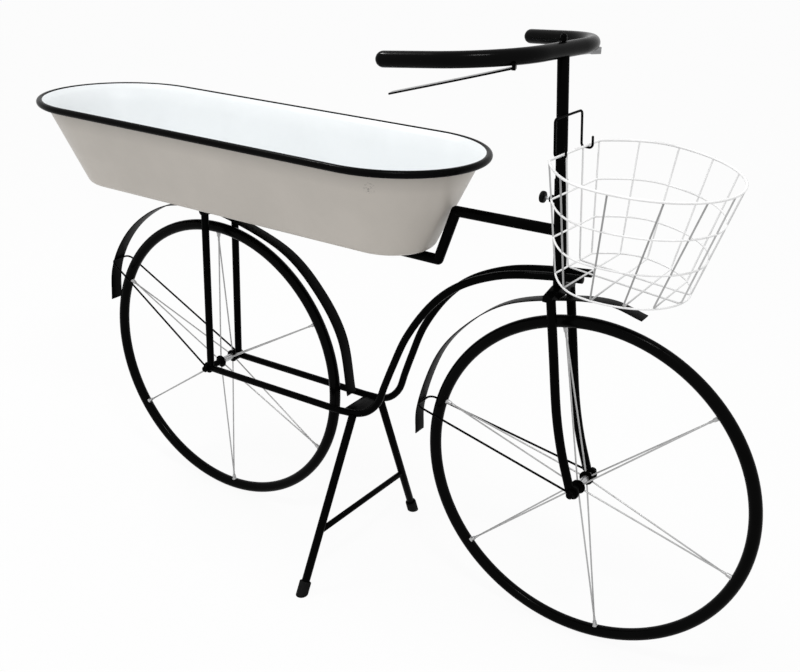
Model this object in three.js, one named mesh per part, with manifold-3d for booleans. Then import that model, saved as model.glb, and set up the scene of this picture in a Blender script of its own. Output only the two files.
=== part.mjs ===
// A garden planter in the shape of an old bicycle: an enamelled tub in place of the saddle and a wire
// basket on the handlebar. Millimetres, +Z up, +X forward, the rider's left is +Y.
import * as THREE from 'three';
import { mergeVertices } from 'three/addons/utils/BufferGeometryUtils.js';
import Module from 'manifold-3d';

const wasm = await Module();
wasm.setup();

// Clearances
const gap = 0.3; // between parts that touch
const smallest = 0.005; // the smallest detail that a join or cut keeps
const overrun = 2; // how far a cutting body passes the face that it cuts
const cutterSize = 120; // of the boxes that only cut
const mergeDistance = 1e-4; // below which two corners of a surface are one

// Sides of round sections
const wireSides = 6;
const hexSides = 6;
const nubSides = 8;
const tubeSides = 12;
const boltSides = 12;
const turnedSides = 16;
const railSides = 20;
const cutterSides = 24;
const bendSteps = 5; // of the round corners of a wire

// Wheels
const ringRadius = 300; // to the middle of the ring's tube
const ringTube = 22;
const wheelGap = 216; // between the rims of the two wheels
const hubBarrel = 13;
const hubFlange = 26;
const hubFlangeThick = 3;
const flangeSpacing = 36;
const rearHubShift = 12; // how far the middle between the flanges lies to the left of the ring
const frontHubShift = 3;
const hubClear = 1.5; // between a hub's ends and the frame's tubes beside it
const axleDiameter = 8;
const spokeWire = 3;
const nubDiameter = 8;
const nubTipDiameter = 6.4;
const nubLength = 9;
const ferruleDiameter = 4.4;
const ferruleLength = 9;
const rearSpokeAngles = [31, 90, 155, 216, 274.5, 334]; // degrees, from ahead upwards
const frontSpokeAngles = [43, 102.5, 165, 224.5, 282, 344];
const ringSides = 8;
const ringSegments = 52;

// Axle fastenings
const eyeDiameter = 24; // the flattened tube ends that the axles pass through
const eyeThick = 6;
const wireSinkShare = 0.4; // of an eye's width, how far from its middle the wire ends in it
const legSinkShare = 0.3; // the same for a fork leg, along X and Z
const wireEyeDiameter = 16;
const wireEyeThick = 4;
const axleNutAcross = 15;
const axleNutThick = 6;
const axleNutDome = 4;
const domeShare = 0.42; // of a nut's width across its corners, the radius of its dome
const domeSteps = 3;

// Rear frame
const stayTube = 15;
const stayLead = 5.5; // how far the stays' tubes and the cross bar stand ahead of the axle
const mainTube = 14;
const rearHalfTrack = 44; // middle of the wheel to the middle of a stay
const railTube = 19;
const railClear = 1.1; // between the rail and the top of the rear mudguard
const railLength = 522; // rear axle to the square corner
const strutLead = 30; // how far the strut leans forward
const strutRise = 95;
const topTubeRise = 4;
const bridgeLength = 34;
const bridgeThick = 3;
const bridgeShare = 0.124; // of the way from the rear wheel's rim to the head, the middle of the bridge
const bridgeRise = 7;
const mainNose = 48; // how far the main tubes run on past the head tube
const mainNoseRise = 6;
// Stations of a main tube: shares of the way from the rear wheel's rim to the head, of the rear half
// track and of the rise to the head
const mainTubeShares = [
  [0.0772, 1, 0.015],
  [0.164, 0.955, 0.028],
  [0.2188, 0.91, 0.059],
  [0.2641, 0.864, 0.123],
  [0.2924, 0.818, 0.225],
  [0.3245, 0.773, 0.338],
  [0.385, 0.682, 0.525],
  [0.4964, 0.591, 0.729],
  [0.6059, 0.523, 0.847],
  [0.7777, 0.455, 0.945],
];
const mainTubeSteps = 27;

// Head, stem and clamp screw
const headLength = 180;
const headTube = 22;
const headBore = 19.6;
const stemTube = 19;
const stemInset = 40; // how far the stem ends above the head tube's lower end
const boltSeatDrop = 13; // the bolt's thread begins this far below the middle of the handlebar
const axisSetback = 115.92; // level with the handlebar, the steering axis lies this far behind the front axle
const axisLean = 0.0917; // backward lean of the steering axis for each unit of height
const mainHalfTrackHead = 18.3;
const clampDrop = 35; // below the head tube's upper end
const clampBoss = 14;
const clampBossLength = 8;
const clampThread = 6;
const clampShank = 8;
const knobDiameter = 20;
const knobLength = 9;
// Profile of the knob: shares of its radius and of its length
const knobShares = [
  [0, 0],
  [0.6, 0],
  [0.84, 0.15],
  [1, 0.35],
  [1, 0.7],
  [0.84, 1],
  [0, 1],
];
const steerAngle = THREE.MathUtils.degToRad(-7.1); // the bar stands turned towards the right

// Fork
const forkTube = 16;
const forkHalfTrack = 39;
const crownHeight = 15;
const crownShare = 1.12; // of the ring's radius, the crown's underside above the axle
const crownDepth = 17;
const crownShoulder = 8;
const crownRaise = 3; // how far the crown's middle stands up round the head tube
const forkLegLead = 3; // the legs leave the crown this far ahead of the steering axis
// Stations of a fork leg: shares of its reach forward and of its height above the axle
const forkLegShares = [
  [0, 1],
  [0.184, 0.733],
  [0.421, 0.398],
  [0.632, 0.205],
];
const forkLegSteps = 14;

// Mudguards
const guardWidth = 29;
const guardThick = 2;
const guardWire = 4;
const guardWireBend = 14;
const guardWireHalfSpan = 26;
const rearStayAngle = 150.5; // degrees round the wheel, from ahead upwards
const frontStayAngle = 169.5;
const guardSteps = 28;
const guardSearchSteps = 200;
const guardTopShare = 1.118; // of the ring's radius, the top of the rear mudguard
// Stations of a mudguard: degrees round the wheel and shares of the ring's radius
const rearGuardShares = [
  [168, 1.093],
  [156, 1.141],
  [144, 1.163],
  [130, 1.171],
  [114, 1.169],
  [100, 1.14],
  [90, guardTopShare],
  [58, 1.127],
  [40, 1.139],
  [24, 1.151],
  [4, 1.14],
];
const frontGuardShares = [
  [181, 1.125],
  [172, 1.138],
  [150, 1.152],
  [135, 1.153],
  [120, 1.154],
  [102, 1.137],
  [88, 1.152],
  [78, 1.135],
];

// Stand
const standTube = 16;
const standShare = 0.1487; // of the way from the rear wheel's rim to the head, the tops of its legs
const standTopHalf = 47;
const standTopRise = 6; // above the height of the axles, where the legs meet the main tubes
const standFootLead = 14; // ahead of the tops of the legs
const standFootHalf = 189;
const standFootSkew = 7.6; // the stand is twisted: the left foot stands forward, the right one back
const standFootShift = -25.6; // and both feet stand over to the right
const standBarTube = 12;
const standBarHeight = 111;
const footDiameter = 23;
const footLength = 26;
const footBase = 6;

// Handlebar, in the frame of the steering axis
const barTube = 25;
const barRise = 199; // above the head tube's upper end
const barHalfFront = 51;
const barBend = 137;
const barBendAngle = THREE.MathUtils.degToRad(78.3);
const barArm = 82;
const barArcSteps = 10;
const barDrop = THREE.MathUtils.degToRad(5.3);
const barBolt = 6;
const barBoltDepth = 30;
const barNutAcross = 13;
const barNutThick = 6;
const barNutDome = 6;

// Brake levers
const leverWidth = 16;
const leverThick = 3;
const leverBlock = 5.5;
const leverWall = 1.2;
// Ahead of the middle of the handlebar, out from it and above it
const leverRoot = [-10, 117, -16];
const leverMiddle = [-88, 156, -40];
const leverTip = [-192, 180, -71];
const leftLeverLifts = [0, 5.5, 9]; // how much higher the left lever is bent at these places
const leverSteps = 10;

// Basket hooks: one bent wire
const hookWire = 4;
const hookHalfSpan = 40;
const hookTopRise = 103; // above the head tube's upper end
const hookCup = 10.2; // half the width of a hook
const hookTipRise = 18;
const hookSeat = 0.4; // how much nearer than their full thickness the two crossing wires lie
const hookBend = 6;

// Basket
const basketWire = 4.2;
const ringWire = 3.2;
const ribWire = 2.9;
const basketHeight = 186;
const basketRings = 4;
const basketRimRise = 50; // above the head tube's upper end
const basketSet = 2; // how far the rim lies ahead of the middle of the hooks
const basketSideSteps = 4;
const basketFrontSteps = 15;
const basketSearchSteps = 50;
const basketRim = { back: 75, half: 143, depth: 273, set: 0 };
const basketBase = { back: 57, half: 106, depth: 199, set: 25 };
const basketPitch = -0.056; // the rim falls a little towards the front
const basketRoll = 0.047; // and towards the right
const basketWideShare = 0.375; // where along the depth the basket is widest
// Where the upright wires meet the rim and the base, along each one's curved side
const ribTopShares = [0, 0.1, 0.218, 0.3235, 0.41, 0.484, 0.55, 0.6395, 0.734, 0.8225, 0.909, 1];
const ribFootShares = [0, 0.1, 0.2025, 0.294, 0.3785, 0.476, 0.55, 0.645, 0.735, 0.825, 0.91, 1];
const backRibShare = 0.33;
const floorWires = 4;
const floorReachShare = 0.98; // of the floor's depth, how far its long wires run

// Tub
const tubHalfStraight = 330;
const tubFrontInset = 22; // how far the tub's floor ends short of the rail's corner
const tubHeight = 170.2; // underside of the floor to the middle of the rim
const tubRimRadius = 170.4;
const tubBead = 13.4;
const tubBeadSteps = 8;
const tubBeadTurn = THREE.MathUtils.degToRad(135); // the bead's arc each way from its outermost point
const tubSheet = 2;
const tubSegments = 32;
const tubWallTopRadius = 158;
const tubWallDrop = 6; // from the middle of the rim to the top of the wall
const tubFloorRadius = 84;
const tubFloorFillet = 18;
const tubFilletSteps = 3;
const tubScrew = 6;
const tubScrewHead = 14;
const tubScrewHeadTop = 10;
const tubScrewHeadThick = 3;
const tubNutAcross = 10;
const tubNutThick = 5;
const tubScrewRearX = 140;
const tubScrewFrontInset = 122; // behind the rail's corner

// Finishes
const finish = (color, roughness, metalness) => ({ color, roughness, metalness });
const blackPaint = finish(0x101010, 0.35, 0.1);
const silverWire = finish(0xb9bcbe, 0.35, 0.9);
const zinc = finish(0xc4c6c8, 0.4, 0.9);
const enamel = finish(0xe9e8e4, 0.25, 0);
const whiteCoat = finish(0xf2f2f0, 0.4, 0);
const blackRubber = finish(0x141414, 0.75, 0);
const blackPlastic = finish(0x161616, 0.5, 0);

// Places that follow from these sizes
const rimX = ringRadius + ringTube / 2; // front end of the rear wheel
const hubZ = rimX;
const wheelbase = 2 * rimX + wheelGap;
const rearHubEnd = rearHalfTrack - stayTube / 2 - hubClear; // from the middle plane
const frontHubEnd = forkHalfTrack - forkTube / 2 - hubClear;
const railHeight = hubZ + ringRadius * guardTopShare + railClear + railTube / 2; // to its middle
const strutTopX = railLength + strutLead;
const topTubeHeight = railHeight + strutRise;
const headBottom = hubZ + ringRadius * crownShare + crownHeight;
const headTop = headBottom + headLength;
const clampHeight = headTop - clampDrop;
const stemBottom = headBottom + stemInset;
const barHeight = headTop + barRise;
const boltSeatZ = barHeight - boltSeatDrop;
const hookTopZ = headTop + hookTopRise;
const basketRimZ = headTop + basketRimRise;
const tubFloorZ = railHeight + railTube / 2 + gap;
const tubRimZ = tubFloorZ + tubHeight;
const tubWallTopZ = tubRimZ - tubWallDrop;
const tubX = railLength - tubFrontInset - tubHalfStraight - tubFloorRadius; // its middle
const tubScrewXs = [tubScrewRearX, railLength - tubScrewFrontInset];
const mainTubeTop = headBottom + headTube; // where the main tubes pass the steering axis
const headX = wheelbase - axisSetback + (barHeight - mainTubeTop) * axisLean;
const bridgeX = THREE.MathUtils.lerp(rimX, headX, bridgeShare);
const standTopX = THREE.MathUtils.lerp(rimX, headX, standShare);
const standFootX = standTopX + standFootLead;

const pieces = new THREE.Group();

// Adds a finished sub-part
function addPart(name, geometry, look, parent = pieces) {
  const mesh = new THREE.Mesh(geometry, new THREE.MeshStandardMaterial(look));
  mesh.name = name;
  parent.add(mesh);
  return mesh;
}

// Joins and cuts
function toSolid(geometry) {
  const bare = geometry.clone();
  bare.deleteAttribute('normal');
  bare.deleteAttribute('uv');
  const merged = mergeVertices(bare, mergeDistance);
  const vertProperties = new Float32Array(merged.attributes.position.array);
  const triVerts = new Uint32Array(merged.index.array);
  return new wasm.Manifold(new wasm.Mesh({ numProp: 3, vertProperties, triVerts }));
}

function toGeometry(solid) {
  const mesh = solid.simplify(smallest).getMesh();
  const geometry = new THREE.BufferGeometry();
  geometry.setAttribute('position', new THREE.BufferAttribute(mesh.vertProperties, 3));
  geometry.setIndex(new THREE.BufferAttribute(mesh.triVerts, 1));
  geometry.computeVertexNormals();
  return geometry;
}

function join(first, ...others) {
  return toGeometry(others.reduce((sum, other) => sum.add(toSolid(other)), toSolid(first)));
}

function cut(first, ...others) {
  return toGeometry(others.reduce((rest, other) => rest.subtract(toSolid(other)), toSolid(first)));
}

// A round bar from one point to another
function rod(from, to, diameter, sides = turnedSides, end = diameter) {
  const a = new THREE.Vector3(...from);
  const b = new THREE.Vector3(...to);
  const along = b.clone().sub(a);
  const geometry = new THREE.CylinderGeometry(end / 2, diameter / 2, along.length(), sides);
  geometry.translate(0, along.length() / 2, 0);
  const turn = new THREE.Quaternion().setFromUnitVectors(new THREE.Vector3(0, 1, 0), along.normalize());
  geometry.applyQuaternion(turn);
  geometry.translate(a.x, a.y, a.z);
  return geometry;
}

// A hexagon nut with a dome on it, which stands up along +Y
function domedNut(across, thick, rise) {
  const hex = new THREE.CylinderGeometry(across / 2, across / 2, thick, hexSides);
  hex.translate(0, thick / 2, 0);
  const radius = across * domeShare;
  const outline = [new THREE.Vector2(0, thick / 2), new THREE.Vector2(radius, thick / 2)];
  for (let k = 0; k < domeSteps; k += 1) {
    const angle = (Math.PI / 2) * (k / domeSteps);
    outline.push(new THREE.Vector2(radius * Math.cos(angle), thick + rise * Math.sin(angle)));
  }
  outline.push(new THREE.Vector2(0, thick + rise));
  return join(hex, new THREE.LatheGeometry(outline, boltSides));
}

// A disc on an axle, from one side of the wheel outwards
function axleDisc(x, side, inner, outer, diameter, sides = railSides) {
  return rod([x, side * inner, hubZ], [x, side * outer, hubZ], diameter, sides);
}

function axleHole(x, side, inner, outer) {
  return axleDisc(x, side, inner, outer, axleDiameter + 2 * gap, turnedSides);
}

// A path through chosen stations, straight between them
class Stations extends THREE.Curve {
  constructor(points) {
    super();
    this.points = points;
  }

  getPoint(share, target = new THREE.Vector3()) {
    const place = Math.min(Math.max(share, 0), 1) * (this.points.length - 1);
    const index = Math.min(Math.floor(place), this.points.length - 2);
    return target.lerpVectors(this.points[index], this.points[index + 1], place - index);
  }

  getUtoTmapping(share) {
    return share;
  }
}

// Stations of straight lines with round corners
function roundedStations(corners, bend) {
  const points = corners.map((corner) => new THREE.Vector3(...corner));
  const stations = [points[0]];
  for (let i = 1; i < points.length - 1; i += 1) {
    const back = points[i - 1].clone().sub(points[i]).normalize();
    const ahead = points[i + 1].clone().sub(points[i]).normalize();
    const corner = back.angleTo(ahead);
    const start = points[i].clone().addScaledVector(back, bend / Math.tan(corner / 2));
    const middle = back.clone().add(ahead).normalize();
    const centre = points[i].clone().addScaledVector(middle, bend / Math.sin(corner / 2));
    const spoke = start.clone().sub(centre);
    for (let k = 0; k <= bendSteps; k += 1) {
      const angle = ((Math.PI - corner) * k) / bendSteps;
      const station = centre.clone().addScaledVector(spoke, Math.cos(angle));
      stations.push(station.addScaledVector(back, -bend * Math.sin(angle)));
    }
  }
  stations.push(points.at(-1));
  return stations;
}

function circle(diameter) {
  return new THREE.Shape().absarc(0, 0, diameter / 2, 0, 2 * Math.PI);
}

function rectangle(width, height) {
  const shape = new THREE.Shape();
  shape.moveTo(-width / 2, -height / 2);
  shape.lineTo(width / 2, -height / 2);
  shape.lineTo(width / 2, height / 2);
  shape.lineTo(-width / 2, height / 2);
  return shape;
}

// A section swept through stations
function sweep(stations, section, sides = tubeSides) {
  const extrudePath = new Stations(stations);
  const options = { steps: stations.length - 1, curveSegments: sides / 2, extrudePath };
  return new THREE.ExtrudeGeometry(section, options);
}

function smooth(points, steps) {
  const corners = points.map((point) => new THREE.Vector3(...point));
  return new THREE.CatmullRomCurve3(corners, false, 'centripetal').getSpacedPoints(steps);
}

// A point of the steering axis at a height
function onAxis(z) {
  return [wheelbase - axisSetback + (barHeight - z) * axisLean, 0, z];
}

function steeringX(z) {
  return onAxis(z)[0];
}

// A point round a wheel by its angle in degrees and its distance from the axle
function wheelPoint(x, degrees, radius, y = 0, z = hubZ) {
  const turn = THREE.MathUtils.degToRad(degrees);
  return [x + radius * Math.cos(turn), y, z + radius * Math.sin(turn)];
}

// Wheels
function hubGeometry(end, shift) {
  const bore = axleDiameter / 2 + gap;
  const flange = (side) => {
    const middle = shift + (side * flangeSpacing) / 2;
    const high = middle + hubFlangeThick / 2;
    const low = middle - hubFlangeThick / 2;
    return [[hubBarrel / 2, high], [hubFlange / 2, high], [hubFlange / 2, low], [hubBarrel / 2, low]];
  };
  const left = [[bore, end], [hubBarrel / 2, end], ...flange(1)];
  const right = [...flange(-1), [hubBarrel / 2, -end], [bore, -end]];
  const outline = [...left, ...right, left[0]].map(([r, y]) => new THREE.Vector2(r, y));
  return new THREE.LatheGeometry(outline.reverse(), turnedSides);
}

function ringGeometry(angles) {
  const torus = new THREE.TorusGeometry(ringRadius, ringTube / 2, ringSides, ringSegments);
  torus.rotateX(Math.PI / 2);
  const tip = ringRadius - ringTube / 2 - nubLength;
  const nubs = angles.map((degrees) => {
    const from = wheelPoint(0, degrees, ringRadius, 0, 0);
    const to = wheelPoint(0, degrees, tip, 0, 0);
    return rod(from, to, nubDiameter, nubSides, nubTipDiameter);
  });
  return join(torus, ...nubs);
}

// Two wires from the hub's flanges to one ferrule at the ring
function spokeGeometry(degrees, shift) {
  const at = (radius, y) => wheelPoint(0, degrees, radius, y, 0);
  const apex = ringRadius - ringTube / 2 - nubLength - gap;
  const foot = hubFlange / 2 + gap;
  const ferrule = rod(at(apex - ferruleLength, 0), at(apex, 0), ferruleDiameter, nubSides);
  const wires = [-1, 1].map((side) => {
    const flange = at(foot, shift + (side * flangeSpacing) / 2);
    return rod(flange, at(apex - ferruleLength / 2, 0), spokeWire, wireSides);
  });
  return join(ferrule, ...wires);
}

function addWheel(end, x, angles, hubEnd, shift) {
  const wheel = new THREE.Group();
  wheel.position.set(x, 0, hubZ);
  pieces.add(wheel);
  addPart(`${end}_wheel_ring`, ringGeometry(angles), blackPaint, wheel);
  addPart(`${end}_hub`, hubGeometry(hubEnd, shift), blackPaint, wheel);
  angles.forEach((degrees, index) => {
    addPart(`${end}_spoke_pair_${index + 1}`, spokeGeometry(degrees, shift), silverWire, wheel);
  });
}

// An axle and its two domed nuts outside the tube ends and wire eyes
function addAxle(end, x, halfTrack) {
  const nutInner = halfTrack + eyeThick / 2 + wireEyeThick + 2 * gap;
  const reach = nutInner + axleNutThick - overrun;
  addPart(`${end}_axle`, rod([x, -reach, hubZ], [x, reach, hubZ], axleDiameter), zinc);
  for (const [sideName, side] of [['left', 1], ['right', -1]]) {
    const nut = domedNut(axleNutAcross, axleNutThick, axleNutDome);
    nut.rotateX(side > 0 ? 0 : Math.PI);
    nut.translate(x, side * nutInner, hubZ);
    const bore = axleHole(x, side, nutInner - overrun, reach + gap);
    addPart(`${end}_axle_nut_${sideName}`, cut(nut, bore), blackPaint);
  }
}

// An eye round an axle: the disc and the hole that is cut through it
function eye(x, side, halfTrack, diameter, thick) {
  const disc = axleDisc(x, side, halfTrack - thick / 2, halfTrack + thick / 2, diameter);
  const reach = thick / 2 + overrun;
  return { disc, hole: axleHole(x, side, halfTrack - reach, halfTrack + reach) };
}

// Rear frame
function addStay(sideName, side) {
  const y = side * rearHalfTrack;
  const { disc, hole } = eye(0, side, rearHalfTrack, eyeDiameter, eyeThick);
  const tube = rod([stayLead, y, hubZ + axleDiameter], [stayLead, y, railHeight], stayTube);
  addPart(`stay_${sideName}`, cut(join(tube, disc), hole, crossBarCutter()), blackPaint);
}

function mainTubeStations(side) {
  const route = mainTubeShares.map(([ahead, out, up]) => {
    const x = THREE.MathUtils.lerp(rimX, headX, ahead);
    return [x, rearHalfTrack * out, THREE.MathUtils.lerp(hubZ, mainTubeTop, up)];
  });
  route.push([headX, mainHalfTrackHead, mainTubeTop]);
  route.push([headX + mainNose, mainHalfTrackHead, mainTubeTop + mainNoseRise]);
  const place = ([x, y, z]) => [x, side * y, z];
  const rearEnd = new THREE.Vector3(...place([eyeDiameter / 2 + gap, rearHalfTrack, hubZ]));
  return [rearEnd, ...smooth(route.map(place), mainTubeSteps)];
}

// The two main tubes, grown by the gap
function mainTubeCutters() {
  return [-1, 1].map((side) => sweep(mainTubeStations(side), circle(mainTube + 2 * gap), turnedSides));
}

function addMainTube(sideName, side) {
  addPart(`main_tube_${sideName}`, sweep(mainTubeStations(side), circle(mainTube)), blackPaint);
}

function addSupport() {
  const reach = rearHalfTrack + stayTube / 2;
  const ends = [-reach, reach].map((y) => [stayLead, y, railHeight]);
  const crossBar = rod(...ends, railTube, railSides);
  addPart('cross_bar', crossBar, blackPaint);
  const corner = [railLength, 0, railHeight];
  const elbow = [strutTopX, 0, topTubeHeight];
  const headEnd = [steeringX(topTubeHeight + topTubeRise), 0, topTubeHeight + topTubeRise];
  const start = [stayLead, 0, railHeight];
  const railCuts = [crossBarCutter(), mitreBox(corner, start, elbow), ...screwHoles()];
  addPart('tub_rail', cut(tubeTo(start, corner, railTube), ...railCuts), blackPaint);
  const strutCuts = [mitreBox(corner, elbow, start), mitreBox(elbow, corner, headEnd)];
  addPart('rail_strut', cut(longRod(corner, elbow, railTube), ...strutCuts), blackPaint);
  const topCuts = [mitreBox(elbow, headEnd, corner), headCutter()];
  addPart('top_tube', cut(tubeTo(headEnd, elbow, railTube), ...topCuts), blackPaint);
}

function crossBarCutter() {
  const reach = rearHalfTrack + stayTube;
  const ends = [-reach, reach].map((y) => [stayLead, y, railHeight]);
  return rod(...ends, railTube + 2 * gap, cutterSides);
}

function throughHead(diameter) {
  return rod(onAxis(headBottom - overrun), onAxis(headTop + overrun), diameter, cutterSides);
}

function headCutter() {
  return throughHead(headTube + 2 * gap);
}

// The half space beyond the plane that halves a corner, as a large box
function mitreBox(corner, here, there) {
  const point = new THREE.Vector3(...corner);
  const back = new THREE.Vector3(...here).sub(point).normalize();
  const ahead = new THREE.Vector3(...there).sub(point).normalize();
  const across = back.clone().sub(ahead).normalize();
  const box = new THREE.BoxGeometry(cutterSize, cutterSize, cutterSize);
  const turn = new THREE.Quaternion().setFromUnitVectors(new THREE.Vector3(1, 0, 0), across);
  box.applyQuaternion(turn);
  const centre = point.addScaledVector(across, gap / 2 - cutterSize / 2);
  box.translate(centre.x, centre.y, centre.z);
  return box;
}

// A tube that runs past its far end, for cutting back
function tubeTo(from, to, diameter) {
  const a = new THREE.Vector3(...from);
  const b = new THREE.Vector3(...to);
  const along = b.clone().sub(a).setLength(diameter);
  return rod(from, b.add(along).toArray(), diameter, railSides);
}

// The same past both ends
function longRod(from, to, diameter) {
  const a = new THREE.Vector3(...from);
  const b = new THREE.Vector3(...to);
  const along = b.clone().sub(a).setLength(diameter);
  return rod(a.sub(along).toArray(), b.add(along).toArray(), diameter, railSides);
}

function addBridge() {
  const plate = new THREE.BoxGeometry(bridgeLength, 2 * rearHalfTrack, bridgeThick);
  plate.translate(bridgeX, 0, hubZ + bridgeRise);
  addPart('frame_bridge', cut(plate, ...mainTubeCutters()), blackPaint);
}

// Head tube, its threaded boss and the clamp screw
function addHead() {
  const tube = rod(onAxis(headBottom), onAxis(headTop), headTube, cutterSides);
  const x = steeringX(clampHeight);
  const bossEnd = x - headTube / 2 - clampBossLength;
  const boss = rod([bossEnd, 0, clampHeight], [x - headBore / 2, 0, clampHeight], clampBoss, hexSides);
  const along = (from, to, diameter) => rod([from, 0, clampHeight], [to, 0, clampHeight], diameter, boltSides);
  const thread = along(bossEnd - overrun, x, clampThread + 2 * gap);
  addPart('head_tube', cut(join(tube, boss), throughHead(headBore), thread), blackPaint);
  const tip = x - stemTube / 2 - gap;
  addPart('clamp_screw', along(bossEnd - clampShank, tip, clampThread), zinc);
  addPart('clamp_knob', knobGeometry(bossEnd - clampShank - gap), blackPlastic);
}

function knobGeometry(front) {
  const outline = knobShares.map(([across, along]) => {
    return new THREE.Vector2((knobDiameter / 2) * across, knobLength * along);
  });
  const knob = new THREE.LatheGeometry(outline, turnedSides);
  knob.rotateZ(Math.PI / 2);
  knob.translate(front, 0, clampHeight);
  return knob;
}

// Fork: crown plate and two legs that curve forward to the axle
function forkLegStations(side) {
  const y = side * forkHalfTrack;
  const top = headBottom - crownHeight + overrun;
  const x = steeringX(top) + forkLegLead;
  const route = forkLegShares.map(([ahead, up]) => {
    return [x + (wheelbase - x) * ahead, y, hubZ + (top - hubZ) * up];
  });
  const sink = eyeDiameter * legSinkShare;
  route.push([wheelbase - sink, y, hubZ + sink]);
  return smooth(route, forkLegSteps);
}

function addFork() {
  const z = headBottom + crownRaise;
  const low = headBottom - crownHeight;
  const half = forkHalfTrack + forkTube / 2;
  const outline = new THREE.Shape();
  outline.moveTo(-half, low);
  outline.lineTo(half, low);
  outline.lineTo(half, z - crownShoulder);
  outline.lineTo(headTube / 2 + crownRaise, z);
  outline.lineTo(-headTube / 2 - crownRaise, z);
  outline.lineTo(-half, z - crownShoulder);
  const crown = new THREE.ExtrudeGeometry(outline, { depth: crownDepth, bevelEnabled: false });
  crown.translate(0, 0, -crownDepth / 2);
  crown.rotateX(Math.PI / 2);
  crown.rotateZ(Math.PI / 2);
  crown.translate(steeringX(low + crownHeight / 2), 0, 0);
  const seatTop = onAxis(headBottom + headTube);
  const seat = rod(onAxis(headBottom - gap), seatTop, headTube + 2 * gap, cutterSides);
  addPart('fork_crown', cut(crown, seat), blackPaint);
  const above = new THREE.BoxGeometry(cutterSize, cutterSize, cutterSize);
  above.translate(steeringX(low), 0, low - gap + cutterSize / 2);
  for (const [sideName, side] of [['left', 1], ['right', -1]]) {
    const { disc, hole } = eye(wheelbase, side, forkHalfTrack, eyeDiameter, eyeThick);
    const leg = sweep(forkLegStations(side), circle(forkTube));
    addPart(`fork_leg_${sideName}`, cut(join(leg, disc), hole, above), blackPaint);
  }
}

// Mudguards: an arc of flat strip by angle and outer radius, with a wire stay to the axle
function addGuard(end, x, shares) {
  const route = shares.map(([angle, share]) => wheelPoint(x, angle, ringRadius * share - guardThick / 2));
  const strip = sweep(smooth(route, guardSteps), rectangle(guardWidth, guardThick));
  addPart(`${end}_mudguard`, strip, blackPaint);
}

// The outer radius of a mudguard at an angle
function guardRadius(shares, angle) {
  const route = shares.map(([turn, share]) => wheelPoint(0, turn, ringRadius * share));
  const turnOf = (point) => THREE.MathUtils.radToDeg(Math.atan2(point.z - hubZ, point.x));
  const missOf = (point) => Math.abs(turnOf(point) - angle);
  const near = smooth(route, guardSearchSteps).sort((a, b) => missOf(a) - missOf(b))[0];
  return Math.hypot(near.x, near.z - hubZ);
}

function addGuardStay(end, x, shares, angle, halfTrack) {
  const seat = halfTrack + eyeThick / 2 + gap + wireEyeThick / 2;
  const radius = guardRadius(shares, angle) - guardThick - 2 * gap - guardWire / 2;
  const start = (side) => wheelPoint(x, angle, wireEyeDiameter * wireSinkShare, side * seat);
  const corner = (side) => wheelPoint(x, angle, radius, side * guardWireHalfSpan);
  const stations = roundedStations([start(-1), corner(-1), corner(1), start(1)], guardWireBend);
  const eyes = [-1, 1].map((side) => eye(x, side, seat, wireEyeDiameter, wireEyeThick));
  const wire = join(sweep(stations, circle(guardWire), wireSides), ...eyes.map((item) => item.disc));
  addPart(`${end}_mudguard_stay`, cut(wire, ...eyes.map((item) => item.hole)), blackPaint);
}

// Stand: two splayed legs, a bar between them and rubber feet
function standFoot(side) {
  return new THREE.Vector3(standFootX + side * standFootSkew, side * standFootHalf + standFootShift, 0);
}

function standPoint(side, share) {
  const top = new THREE.Vector3(standTopX, side * standTopHalf, hubZ + standTopRise);
  return top.lerp(standFoot(side), share);
}

function addStand() {
  const legs = [-1, 1].map((side) => {
    const length = standPoint(side, 0).distanceTo(standPoint(side, 1));
    const end = 1 - (footBase + gap) / length;
    return rod(standPoint(side, 0).toArray(), standPoint(side, end).toArray(), standTube);
  });
  addPart('stand_leg_right', cut(legs[0], ...mainTubeCutters()), blackPaint);
  addPart('stand_leg_left', cut(legs[1], ...mainTubeCutters()), blackPaint);
  const share = 1 - standBarHeight / (hubZ + standTopRise);
  const bar = rod(standPoint(-1, share).toArray(), standPoint(1, share).toArray(), standBarTube);
  const legCuts = [-1, 1].map((side) => {
    const ends = [0, 1].map((share) => standPoint(side, share).toArray());
    return rod(...ends, standTube + 2 * gap, cutterSides);
  });
  addPart('stand_bar', cut(bar, ...legCuts), blackPaint);
  addPart('stand_foot_right', footGeometry(-1), blackRubber);
  addPart('stand_foot_left', footGeometry(1), blackRubber);
}

function footGeometry(side) {
  const length = standPoint(side, 0).distanceTo(standPoint(side, 1));
  const place = (distance) => standPoint(side, 1 - distance / length).toArray();
  const cup = rod(place(footLength), place(-footDiameter / 2), footDiameter, railSides);
  const socket = rod(place(footLength + overrun), place(footBase), standTube + 2 * gap, railSides);
  const floor = new THREE.BoxGeometry(cutterSize, cutterSize, cutterSize);
  floor.translate(standFoot(side).x, standFoot(side).y, -cutterSize / 2);
  return cut(cup, socket, floor);
}

// What turns and slides in the head tube stands in one group, turned about the steering axis
const steering = new THREE.Group();
const axisDirection = new THREE.Vector3(-axisLean, 0, 1).normalize();
const axisPoint = new THREE.Vector3(...onAxis(barHeight));
steering.quaternion.setFromAxisAngle(axisDirection, steerAngle);
steering.position.copy(axisPoint).applyQuaternion(steering.quaternion).multiplyScalar(-1).add(axisPoint);

function barPoint(side, angle, arm = 0) {
  const x = -barBend + barBend * Math.cos(angle) - arm * Math.sin(angle);
  const y = barHalfFront + barBend * Math.sin(angle) + arm * Math.cos(angle);
  return new THREE.Vector3(steeringX(barHeight) + x, side * y, barHeight + x * Math.tan(barDrop));
}

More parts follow.
